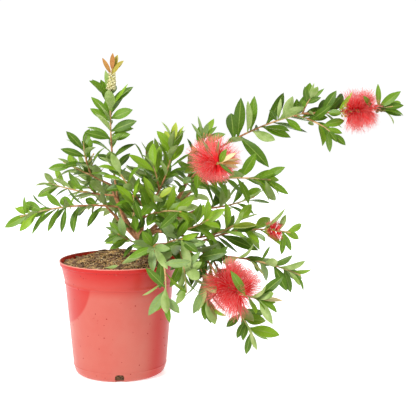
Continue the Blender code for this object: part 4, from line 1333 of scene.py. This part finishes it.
# %% The single leaves
Single = namedtuple("Single", "along tip width droop upright tone")
SINGLES = {
    "shoot_top": (
        (0.96, (-22, -5, 496), 7, 0.3, 1, "bronze"), (0.99, (-6, -6, 503), 8, 0.2, 1, "bronze"),
        (0.99, (1, 2, 501), 9, 0.2, 1, "olive"), (0.985, (10, -3, 492), 8, 0.3, 1, "olive"),
        (0.96, (5, -9, 488), 7, 0.3, 1, "olive"), (0.80, (-18, -6, 478), 9, 0.2, 0, "middle"),
        (0.74, (24, -12, 452), 13, 0.3, 1, "deep"), (0.70, (17, -20, 456), 5, 0.2, 1, "fresh"),
        (0.62, (23, -8, 417), 17, 0.3, 1, "middle"), (0.52, (29, -10, 400), 17, 0.3, 1, "deep"),
        (0.46, (19, -6, 379), 14, 0.3, 1, "middle"), (0.78, (-38, -6, 463), 11, 0.2, 1, "deep"),
        (0.64, (-38, -14, 436), 12, 0.3, 1, "middle"), (0.60, (-42, -4, 419), 12, 0.3, 1, "middle"),
        (0.46, (-50, -10, 383), 13, 0.3, 1, "deep"),
    ),
    "shoot_low_flower": (
        (0.78, (177, -172, 190), 13, 0.3, 1, "middle"), (0.93, (249, -140, 180), 14, 0.2, 1, "deep"),
        (0.94, (234, -130, 107), 13, 0.3, 0, "middle"), (0.91, (249, -142, 145), 7, 0.2, 1, "blush"),
        (0.07, (133, -75, 182), 10, 0.2, 1, "sage"), (0.18, (170, -84, 215), 11, 0.2, 1, "deep"),
    ),
    "shoot_centre_flower": (
        (0.95, (165, -142, 362), 10, 0.2, 1, "middle"), (0.94, (181, -112, 357), 7, 0.2, 1, "blush"),
        (0.92, (188, -104, 348), 6, 0.3, 1, "blush"), (0.93, (187, -108, 342), 5, 0.3, 1, "bronze"),
        (0.90, (186, -100, 335), 6, 0.3, 1, "blush"), (0.93, (176, -112, 326), 6, 0.2, 1, "deep"),
        (0.84, (135, -104, 372), 6, 0.2, 1, "sage"), (0.86, (156, -105, 373), 6, 0.2, 1, "sage"),
    ),
    "shoot_long_tip": (
        (0.40, (356, -6, 436), 4, 0.2, 1, "fresh"), (0.44, (363, -4, 443), 4, 0.2, 1, "lime"),
        (0.86, (406, 14, 456), 9, 0.1, 1, "middle"), (0.22, (341, 16, 445), 15, 0.3, 1, "deep"),
        (0.26, (352, 31, 437), 12, 0.3, 1, "deep"), (0.28, (349, 15, 410), 13, 0.3, 1, "middle"),
        (0.86, (442, 15, 445), 13, 0.2, 1, "middle"), (0.90, (448, 17, 423), 12, 0.2, 1, "deep"),
        (0.88, (444, 13, 407), 12, 0.2, 1, "deep"), (0.79, (382, -8, 437), 9, 0.2, 1, "middle"),
    ),
    "shoot_long_branch": (
        (0.24, (236, 0, 330), 20, 0.4, 1, "deep"), (0.40, (247, 10, 366), 17, 0.2, 0, "middle"),
        (0.22, (192, 12, 434), 19, 0.1, 1, "deep"), (0.38, (214, 26, 437), 15, 0.3, 1, "middle"),
        (0.80, (288, 19, 382), 12, 0.2, 1, "middle"), (0.52, (271, 17, 373), 15, 0.2, 1, "middle"),
        (0.70, (238, 17, 415), 10, 0.2, 1, "deep"), (0.77, (275, 37, 436), 15, 0.3, 0, "middle"),
        (0.71, (256, 41, 433), 7, 0.2, 0, "middle"), (0.93, (280, 18, 432), 11, 0.2, 1, "deep"),
    ),
    "shoot_right_arm": (
        (0.96, (245, -22, 262), 13, 0.9, 0, "middle"), (0.90, (261, 2, 327), 14, 0.2, 1, "middle"),
        (0.94, (268, 2, 284), 12, 0.2, 1, "middle"),
    ),
    "shoot_lowest": (
        (0.80, (226, -96, 104), 17, 0.2, 1, "middle"), (0.92, (249, -90, 81), 18, 0.3, 1, "fresh"),
        (0.97, (198, -84, 48), 11, 0.2, 1, "deep"), (0.74, (168, -82, 91), 12, 0.2, 1, "deep"),
        (0.83, (184, -87, 75), 11, 0.2, 1, "deep"), (0.87, (192, -93, 75), 9, 0.4, 1, "deep"),
        (0.95, (214, -86, 56), 8, 0.2, 0, "middle"),
    ),
    "shoot_upper_left_spur": (
        (0.80, (-83, 20, 382), 13, 0.2, 1, "deep"), (0.60, (-91, 14, 355), 12, 0.3, 1, "deep"),
    ),
    "shoot_upper_left": (
        (0.85, (-115, 34, 322), 13, 0.2, 1, "middle"),
    ),
    "shoot_left_middle": (
        (0.86, (-138, 50, 275), 13, 0.3, 1, "middle"),
    ),
    "shoot_left_long": (
        (0.93, (-176, -24, 235), 14, 0.2, 1, "middle"), (0.84, (-152, -30, 230), 13, 0.3, 1, "fresh"),
        (0.97, (-145, -18, 283), 5, 0.3, 1, "middle"), (0.96, (-159, -22, 266), 6, 0.2, 1, "fresh"),
        (0.55, (-89, -16, 225), 9, 0.2, 1, "deep"), (0.62, (-110, -19, 227), 9, 0.2, 1, "middle"),
    ),
    "shoot_small_flower": (
        (0.95, (254, -40, 194), 10, 0.2, 1, "middle"), (0.93, (270, -34, 199), 10, 0.2, 1, "middle"),
        (0.90, (260, -40, 258), 9, 0.2, 0, "middle"), (0.25, (219, -40, 202), 16, 0.2, 1, "deep"),
        (0.16, (160, -45, 200), 9, 0.2, 1, "sage"), (0.55, (220, -40, 213), 9, 0.2, 1, "fresh"),
        (0.42, (215, -43, 241), 12, 0.2, 1, "deep"),
    ),
    "shoot_lower_right": (
        (0.82, (265, -90, 145), 12, 0.2, 1, "deep"), (0.70, (258, -98, 150), 15, 0.2, 1, "deep"),
        (0.37, (224, -81, 196), 8, 0.3, 1, "deep"), (0.55, (233, -84, 215), 5, 0.3, 1, "deep"),
        (0.19, (142, -77, 196), 13, 0.2, 1, "deep"), (0.28, (161, -84, 189), 11, 0.2, 0, "middle"),
        (0.47, (216, -81, 175), 7, 0.2, 1, "deep"),
    ),
    "shoot_centre_up": (
        (0.92, (91, -14, 397), 11, 0.2, 1, "lime"), (0.86, (62, -16, 384), 13, 0.2, 1, "fresh"),
    ),
    "shoot_long_drop": (
        (0.99, (356, 6, 361), 12, 0.2, 1, "deep"), (0.88, (342, 4, 366), 10, 0.2, 1, "deep"),
        (0.67, (324, 9, 373), 11, 0.2, 1, "deep"), (0.68, (333, 27, 382), 11, 0.2, 0, "middle"),
        (0.41, (302, 13, 390), 10, 0.2, 0, "middle"), (0.80, (352, 15, 379), 10, 0.2, 1, "middle"),
    ),
    "shoot_long_up": (
        (0.53, (292, 15, 451), 10, 0.2, 1, "deep"), (0.53, (308, 33, 457), 6, 0.2, 0, "middle"),
        (0.52, (323, 23, 449), 7, 0.2, 1, "middle"), (0.53, (317, 15, 435), 9, 0.2, 1, "deep"),
    ),
    "shoot_under_flower": (
        (0.77, (118, -96, 114), 14, 0.2, 1, "sage"), (0.92, (151, -97, 98), 17, 0.2, 0, "deep"),
        (0.90, (145, -89, 97), 15, 0.2, 1, "deep"), (0.41, (111, -88, 207), 10, 0.2, 1, "middle"),
        (0.48, (140, -91, 163), 11, 0.2, 1, "deep"),
    ),
    "shoot_pot_front": (
        (0.83, (52, -120, 117), 14, 0.2, 1, "sage"), (0.93, (99, -120, 121), 13, 0.3, 1, "sage"),
        (0.99, (84, -116, 105), 9, 0.2, 1, "middle"), (0.81, (50, -122, 189), 12, 0.2, 1, "deep"),
    ),
    "shoot_low_left": (
        (0.99, (-19, -48, 216), 8, 0.2, 1, "deep"), (0.63, (-12, -35, 203), 10, 0.2, 1, "middle"),
        (0.76, (-15, -38, 225), 11, 0.2, 0, "middle"), (0.89, (-12, -34, 246), 9, 0.2, 1, "middle"),
    ),
    "shoot_front_tuft": (
        (0.99, (22, -100, 200), 11, 0.2, 1, "middle"), (0.30, (24, -63, 212), 10, 0.2, 1, "middle"),
        (0.30, (10, -63, 184), 11, 0.2, 0, "middle"), (0.30, (65, -63, 233), 10, 0.2, 1, "deep"),
        (0.99, (81, -106, 183), 12, 0.2, 0, "deep"),
    ),
    "shoot_inner_left": (
        (0.94, (39, -43, 246), 12, 0.2, 1, "deep"),
    ),
    "shoot_centre_low": (
        (0.80, (69, -86, 191), 13, 0.2, 0, "middle"), (0.99, (114, -99, 185), 14, 0.2, 0, "middle"),
        (0.93, (126, -98, 208), 13, 0.2, 1, "deep"),
    ),
    "shoot_centre_front": (
        (0.99, (69, -88, 243), 12, 0.2, 1, "deep"),
    ),
    "shoot_right_hang": (
        (0.58, (99, -91, 150), 12, 0.2, 0, "middle"), (0.70, (133, -102, 194), 12, 0.2, 0, "middle"),
        (0.50, (97, -90, 186), 10, 0.2, 1, "sage"), (0.68, (129, -99, 209), 10, 0.2, 1, "sage"),
    ),
    "shoot_crown_right": (
        (0.88, (115, 6, 395), 5, 0.2, 1, "sage"), (0.92, (125, 5, 406), 5, 0.2, 1, "sage"),
        (0.88, (140, 4, 395), 9, 0.2, 1, "sage"), (0.89, (154, 4, 390), 7, 0.2, 1, "middle"),
    ),
}
TOWARDS_VIEW = Vector((0.05, -1, 0.35))
SINGLE_FOLD = 0.22
SINGLE_TWIST = 0.15


def place_single(line, single):
    """A leaf from a point on its stem to its own tip."""
    foot, _ = along(line, single.along)
    reach = Vector(single.tip) * MM - foot
    axis = reach.normalized()
    face = (TOWARDS_VIEW - TOWARDS_VIEW.dot(axis) * axis).normalized()
    return Leaf(foot, axis, face * (1 if single.upright else -1), reach.length,
                single.width * MM, SINGLE_FOLD, single.droop, SINGLE_TWIST, single.tone)


leaves = {shoot.name: [] for shoot in SHOOTS}
for name, rows in SINGLES.items():
    for row in rows:
        leaf = place_single(paths[name], Single(*row))
        room.add("single leaves", fit_leaf(COARSE_SHAPE[0], leaf), COARSE_SHAPE[1])
        leaves[name].append(leaf)
print(f"{sum(map(len, leaves.values()))} single leaves")

# %% All the other leaves
for shoot in SHOOTS:
    grown = leaves[shoot.name]
    for number, (line, _) in enumerate(twigs[shoot.name]):
        length = line_length(line)
        for index, share in enumerate(leaf_shares(shoot, length)):
            leaf = try_leaf(shoot, line, share, index, f"twig {number}")
            if leaf is not None:
                grown.append(leaf)
print(f"{sum(map(len, leaves.values()))} leaves")

# %% [markdown]
# ## Leaf finishes
#
# The upper face is a saturated green with side veins and a little gloss, the midrib is
# paler, and the underside is a matt grey-green. The tints are plain colours dealt out
# leaf by leaf, so a young spray is lighter all over than the old wood's leaves.

# %% The leaf materials
LEAF_TINTS = {
    "deep": ((0.055, 0.125, 0.005), (0.09, 0.18, 0.008), (0.18, 0.28, 0.04)),
    "middle": ((0.1, 0.215, 0.008), (0.15, 0.28, 0.012), (0.26, 0.4, 0.06)),
    "fresh": ((0.17, 0.32, 0.01), (0.24, 0.4, 0.018), (0.4, 0.52, 0.09)),
    "lime": ((0.32, 0.44, 0.03), (0.45, 0.53, 0.06), (0.58, 0.6, 0.16)),
    "sage": ((0.15, 0.25, 0.06), (0.26, 0.37, 0.13), (0.36, 0.46, 0.2)),
    "olive": ((0.36, 0.27, 0.03), (0.42, 0.36, 0.05), (0.48, 0.4, 0.12)),
    "bronze": ((0.36, 0.12, 0.03), (0.46, 0.26, 0.06), (0.46, 0.26, 0.07)),
    "blush": ((0.6, 0.4, 0.14), (0.8, 0.74, 0.42), (0.82, 0.76, 0.5)),
}
VEIN_SHOW = 0.24


def leaf_material(tone, first, second, vein):
    """A leaf's upper face: two greens mixed by noise, with its veins pressed in."""
    finish, tree, shader = new_material(f"leaf {tone}", Roughness=0.38,
                                        Specular_IOR_Level=0.26)
    green = place_group(tree, mottle, First=(*first, 1), Second=(*second, 1), Scale=70.0,
                        Softness=0.22)
    lines = place_group(tree, veins, Pairs=9.0, Slant=3.2)
    shown = maths(tree, "MULTIPLY", lines.outputs["Mask"], VEIN_SHOW)
    veined = blend_colour(tree, shown, green.outputs["Color"], (*vein, 1))
    relief = add_node(tree, "ShaderNodeBump", {"Strength": 0.35, "Distance": 0.0003,
                                               "Height": lines.outputs["Mask"]})
    tree.links.new(veined, shader.inputs["Base Color"])
    tree.links.new(relief.outputs["Normal"], shader.inputs["Normal"])
    return finish


leaf_finishes = [leaf_material(tone, *LEAF_TINTS[tone]) for tone in TONES]
leaf_finishes.append(mottled("leaf midrib", (0.3, 0.4, 0.08), (0.22, 0.32, 0.05), 60,
                             Roughness=0.55, Specular_IOR_Level=0.3))
leaf_finishes.append(mottled("leaf underside", (0.2, 0.32, 0.055), (0.41, 0.51, 0.2), 60,
                             Roughness=0.65, Specular_IOR_Level=0.2))
RIB_SLOT = len(TONES)
UNDER_SLOT = len(TONES) + 1
print(f"{len(leaf_finishes)} leaf finishes")

# %% Leaves joined by part of the crown
REGIONS = {
    "leaves_left": ("bough_leader", "bough_upper_left", "shoot_upper_left"),
    "leaves_centre": ("bough_middle", "trunk", "bough_front"),
    "leaves_right": ("bough_long_low", "bough_long_high", "shoot_long_branch",
                     "bough_right"),
    "leaves_low": ("bough_lower", "bough_low_right"),
    "leaves_back": ("bough_back", "bough_back_left", "bough_back_right"),
}


def join_leaves(name, grown, finishes):
    """One mesh of many leaves, with each leaf's own map from foot to tip."""
    shape, faces = leaf_shape
    corners = np.concatenate([fit_leaf(shape, leaf) for leaf in grown])
    joined = [tuple(corner + start for corner in face)
              for start in range(0, len(corners), len(shape)) for face in faces]
    slots = [TONES.index(leaf.tone) if kind == 0 or leaf.tone in ("bronze", "blush")
             else RIB_SLOT if kind == 1 else UNDER_SLOT
             for leaf in grown for kind in leaf_kinds]
    piece = mesh_piece(name, corners, joined, finishes, slots, crease=75)
    chart = piece.data.uv_layers.new(name="leaf")
    spread = np.tile(np.stack([shape[:, 0] / 2 + 0.5, shape[:, 1]], axis=1), (len(grown), 1))
    numbers = np.empty(len(piece.data.loops), np.int32)
    piece.data.loops.foreach_get("vertex_index", numbers)
    chart.data.foreach_set("uv", spread[numbers].ravel().astype(np.float32))
    return piece


for name, parents in REGIONS.items():
    members = [shoot for shoot in SHOOTS if shoot.parent in parents]
    grown = [leaf for shoot in members for leaf in leaves[shoot.name]]
    piece = join_leaves(name, grown, leaf_finishes)
    hand_over(piece, "leafy_shoots", *[shoot.name for shoot in members])

# %% [markdown]
# ## One dropped leaf
#
# A dry leaf lies on the pot's front edge. It could be scattered by chance, but then its
# place would be lost. It is one more copy of the leaf blank, laid down at a given place.

# %% A leaf that has dropped on the pot's edge
FALLEN_FOOT = Vector((-14, -84, 182)) * MM
FALLEN_LENGTH = 20 * MM
FALLEN_WIDTH = 11 * MM

axis = Vector((1, 0.15, 0.22)).normalized()
side = axis.cross(Vector((0, 0, 1))).normalized()
dropped = Leaf(FALLEN_FOOT, axis, axis.cross(side), FALLEN_LENGTH, FALLEN_WIDTH,
               fold=0.15, droop=-0.15, twist=-0.5, tone="middle")
fallen = join_leaves("fallen_leaf", [dropped], leaf_finishes)
hand_over(fallen, "compost")

# %% [markdown]
# ## The blooms
#
# A bottlebrush flower has no petals to speak of. Forty or fifty florets sit round the
# stem, each a small green cup with about thirty long red stamens, and together they make
# the brush. Hair strands could draw them, but the finished part needs real surfaces. Each
# stamen is therefore swept as a three-sided tube that thins and pales outwards, and ends
# in a dark anther.

# %% Florets round the stem
STAMEN_POINTS = 5
STAMEN_RADIUS = 0.35 * MM
FLORET_SPACING = 1.25 * MM
SMALL_FLORETS = 13
STAMENS = 34
FAN = math.radians(23)
BRUSH_CORE = 0.6
BRUSH_FULL = {"shoot_centre_flower": 1.22, "shoot_low_flower": 1.24, "shoot_long_tip": 1.16,
              "shoot_small_flower": 1.1}
BLOOMS = [shoot for shoot in SHOOTS if shoot.bloom is not None and shoot.name != "shoot_top"]
CUP_RADIUS = 1.7 * MM
UPPER_FLORETS = 0.22
FLORET_TILT = (0.14, 0.3, 0.16)
FLORET_REACHES = (0.64, 1.1, 1.0)
ENDS_SHORTER = 0.16
STAMEN_START = (2.2 * MM, 0.9 * MM)
STAMEN_OPENING = (0.8, 1.15)
STAMEN_REACHES = (0.78, 1.0)
STAMEN_CURL = (-0.05, 0.16)
STAMEN_SAG = 0.07
STAMEN_THINNING = 0.52


def floret_feet(shoot):
    """Each floret's foot, direction and reach, in a spiral along the bloom."""
    line = paths[shoot.name]
    length = line_length(line)
    half = 0.5 * shoot.bloom.length * MM
    count = int(shoot.bloom.length * MM / FLORET_SPACING)
    if shoot.name == "shoot_small_flower":
        count = SMALL_FLORETS
    chance = random.Random(f"{shoot.name} florets")
    tilt_middle, tilt_ends, tilt_scatter = FLORET_TILT
    for index in range(count):
        place = (index + 0.5) / count * 2 - 1
        foot, direction = along(line, shoot.bloom.along + BRUSH_CORE * place * half / length)
        outward = outward_at(direction, index * GOLDEN_TURN)
        tilt = tilt_middle + tilt_ends * place + chance.uniform(-tilt_scatter, tilt_scatter)
        heading = (outward * math.cos(tilt) + direction * math.sin(tilt)).normalized()
        reach = shoot.bloom.radius * MM * BRUSH_FULL[shoot.name]
        reach *= (1 - ENDS_SHORTER * place * place) * chance.triangular(*FLORET_REACHES)
        if shoot.name == "shoot_centre_flower":
            reach *= 1 + UPPER_FLORETS * heading.z
        yield index, foot, direction, heading, reach


def stamen_lines(shoot):
    """Lines and radii of all the stamens of one bloom."""
    lines = []
    radii = []
    shares = [step / (STAMEN_POINTS - 1) for step in range(STAMEN_POINTS)]
    out, aside = STAMEN_START
    for index, foot, _, heading, reach in floret_feet(shoot):
        chance = random.Random(f"{shoot.name} floret {index}")
        for number in range(STAMENS):
            open_angle = FAN * math.sqrt((number + 0.5) / STAMENS)
            open_angle *= chance.uniform(*STAMEN_OPENING)
            away = outward_at(heading, number * GOLDEN_TURN + index)
            aim = math.cos(open_angle) * heading + math.sin(open_angle) * away
            start = foot + heading * out + away * aside
            end = start + aim * (reach - out) * chance.uniform(*STAMEN_REACHES)
            curl = away * chance.uniform(*STAMEN_CURL)
            sag = Vector((0, 0, chance.uniform(0, STAMEN_SAG)))
            middle = (start + end) / 2 - (curl - sag) * reach
            lines.append([tuple((1 - s) ** 2 * start + 2 * s * (1 - s) * middle + s * s * end)
                          for s in shares])
            radii.append([STAMEN_RADIUS * (1 - STAMEN_THINNING * s) for s in shares])
    return lines, radii


print(f"{len(BLOOMS)} open blooms")

# %% The stamens with their anthers
STAMEN_REDS = {
    "stamen deep red": ((0.88, 0.01, 0.018), (0.92, 0.035, 0.04)),
    "stamen red": ((0.9, 0.032, 0.04), (0.94, 0.095, 0.09)),
    "stamen pale end": ((0.84, 0.12, 0.12), (0.9, 0.3, 0.28)),
}
stamen_finishes = [mottled(name, *reds, 120, Roughness=0.5, Specular_IOR_Level=0.25)
                   for name, reds in STAMEN_REDS.items()]
anther_finish = mottled("anther", (0.5, 0.02, 0.03), (0.62, 0.2, 0.1), 300, Roughness=0.7)
STAMEN_SIDES = 3
STAMEN_TONES = (0, 0, 1, 2)
PALER_EVERY = 3
ANTHER_SIZE = 0.4 * MM

bpy.ops.mesh.primitive_ico_sphere_add(subdivisions=1, radius=1)
anther = bpy.context.object
anther.data.transform(Matrix.Diagonal((0.7, 0.7, 1.25, 1)))
anther_blank = take_blank(anther)

for shoot in BLOOMS:
    lines, radii = stamen_lines(shoot)
    corners, faces = tubes(lines, radii, STAMEN_SIDES)
    slots = []
    for number in range(len(lines)):
        paler = 1 if number % PALER_EVERY == 0 else 0
        slots += [min(2, tone + paler) for tone in STAMEN_TONES for _ in range(STAMEN_SIDES)]
    slots += [0] * len(lines) + [2] * len(lines)
    brush = mesh_piece(f"stamens_{shoot.name[6:]}", corners, faces, stamen_finishes, slots,
                       crease=80)
    hand_over(brush, "flowering_shoots")
    poses = []
    for line in lines:
        tip = Vector(line[-1])
        heading = (tip - Vector(line[-2])).to_track_quat("Z", "Y").to_matrix().to_4x4()
        poses.append(Matrix.Translation(tip) @ heading @ Matrix.Scale(ANTHER_SIZE, 4))
    scatter(f"anthers_{shoot.name[6:]}", anther_blank, poses, anther_finish,
            "flowering_shoots", 80)

# %% [markdown]
# ## Cups and unopened florets
#
# Every floret stands in a green cup on the stem, and below the open brush a few are
# still shut, each on a short stalk. A full flower model would be lost at this size. One
# small ball with a dented top serves for all of them, and short tubes carry the shut ones.

# %% The green cups
CUP_STAND = 1.4 * MM
CUP_LENGTH = 1.15
CUP_DENT = 0.7

bpy.ops.mesh.primitive_uv_sphere_add(segments=8, ring_count=6, radius=1)
cup = bpy.context.object
edit(cup)
select_where(cup, lambda place: place.z > 0.9)
bpy.ops.transform.translate(value=(0, 0, -CUP_DENT))
bpy.ops.object.mode_set(mode="OBJECT")
cup_blank = take_blank(cup)
cup_finish = mottled("floret cup", (0.34, 0.42, 0.07), (0.5, 0.5, 0.13), 160, Roughness=0.55)
print(f"cup of {len(cup_blank[1])} faces")

# %% Cups on every floret, and the shut florets below the brush
UNOPENED = 18
UNOPENED_STAND = 0.34
UNOPENED_FROM = 0.66
UNOPENED_OVER = 0.5
UNOPENED_LEAN = 0.5
UNOPENED_SIZE = (1.6 * MM, 2.5 * MM)
STALK_RADIUS = 0.5 * MM


def bud_pose(foot, heading, stand, radius, length):
    """A small round body that stands off its stem in a direction."""
    turned = heading.to_track_quat("Z", "Y").to_matrix().to_4x4()
    return (Matrix.Translation(foot + heading * stand) @ turned
            @ Matrix.Diagonal((radius, radius, length, 1)))


poses = []
stalks = []
for shoot in BLOOMS:
    for _, foot, _, heading, _ in floret_feet(shoot):
        poses.append(bud_pose(foot, heading, CUP_STAND, CUP_RADIUS, CUP_RADIUS * CUP_LENGTH))
    line = paths[shoot.name]
    half = 0.5 * shoot.bloom.length * MM / line_length(line)
    for index in range(UNOPENED):
        back = half * (UNOPENED_FROM + UNOPENED_OVER * index / UNOPENED)
        share = shoot.bloom.along - back
        foot, direction = along(line, share)
        outward = outward_at(direction, index * GOLDEN_TURN)
        heading = (outward + UNOPENED_LEAN * direction).normalized()
        stand = UNOPENED_STAND * shoot.bloom.radius * MM * (1 - 0.4 * index / UNOPENED)
        poses.append(bud_pose(foot, heading, stand, *UNOPENED_SIZE))
        stalks.append([tuple(foot + heading * stand * part) for part in (0, 0.5, 1)])
scatter("floret_cups", cup_blank, poses, cup_finish, "flowering_shoots")
corners, faces = tubes(stalks, [[STALK_RADIUS] * 3] * len(stalks), 5)
bud_stalks = mesh_piece("floret_stalks", corners, faces, [cup_finish], crease=80)
hand_over(bud_stalks, "flowering_shoots")

# %% [markdown]
# ## Buds and seed knobs
#
# The leader ends in next season's flower: a spike of pale round buds packed in a spiral.
# Every twig ends in one pointed bud, and woody knobs behind the far bloom hold the seed
# of an older flower. They are the same small ball again, posed by the rule of the leaves,
# because at this size only their spacing and colour tell them apart.

# %% The bud spike at the top of the leader
BUD_COUNT = 58
BUD_SPIKE = 8.0 * MM
BUD_SIZE = 2.3 * MM
BUD_LENGTH = 1.35
BUD_LEAN = 0.5
BUD_SHRINK = 0.4
SPIKE_TAPER = 1.2 * MM

top = next(shoot for shoot in SHOOTS if shoot.name == "shoot_top")
line = paths[top.name]
length = line_length(line)
poses = []
for index in range(BUD_COUNT):
    place = (index + 0.5) / BUD_COUNT * 2 - 1
    foot, direction = along(line, top.bloom.along + 0.5 * place * top.bloom.length * MM / length)
    outward = outward_at(direction, index * GOLDEN_TURN)
    heading = (outward + BUD_LEAN * direction).normalized()
    size = BUD_SIZE * (1 - BUD_SHRINK * max(0, place))
    stand = BUD_SPIKE - size - SPIKE_TAPER * max(0, place)
    poses.append(bud_pose(foot, heading, stand, size, size * BUD_LENGTH))
bud_finish = mottled("young flower bud", (0.8, 0.76, 0.48), (0.5, 0.45, 0.13), 330,
                     softness=0.1, Roughness=0.55)
scatter("flower_buds", cup_blank, poses, bud_finish, "flowering_shoots")

# %% Tip buds on every twig, and seed knobs behind the far bloom
TIP_BUD = (0.8 * MM, 1.25 * MM, 3.0 * MM)
KNOBS = 11
KNOB_SHARES = (0.82, 0.93)
KNOB = (4.6 * MM, 2.9 * MM, 2.7 * MM)

poses = []
for line, _ in all_twigs:
    foot, direction = along(line, 1.0)
    poses.append(bud_pose(foot, direction, *TIP_BUD))
tip_finish = mottled("tip bud", (0.6, 0.27, 0.08), (0.5, 0.42, 0.12), 240, Roughness=0.55)
scatter("tip_buds", cup_blank, poses, tip_finish, "leafy_shoots")

poses = []
line = paths["shoot_long_tip"]
low, high = KNOB_SHARES
for index in range(KNOBS):
    foot, direction = along(line, low + (high - low) * index / KNOBS)
    poses.append(bud_pose(foot, outward_at(direction, index * GOLDEN_TURN), *KNOB))
knob_finish = mottled("seed knob", (0.12, 0.07, 0.025), (0.26, 0.24, 0.07), 260, Roughness=0.7)
scatter("seed_knobs", cup_blank, poses, knob_finish, "flowering_shoots")
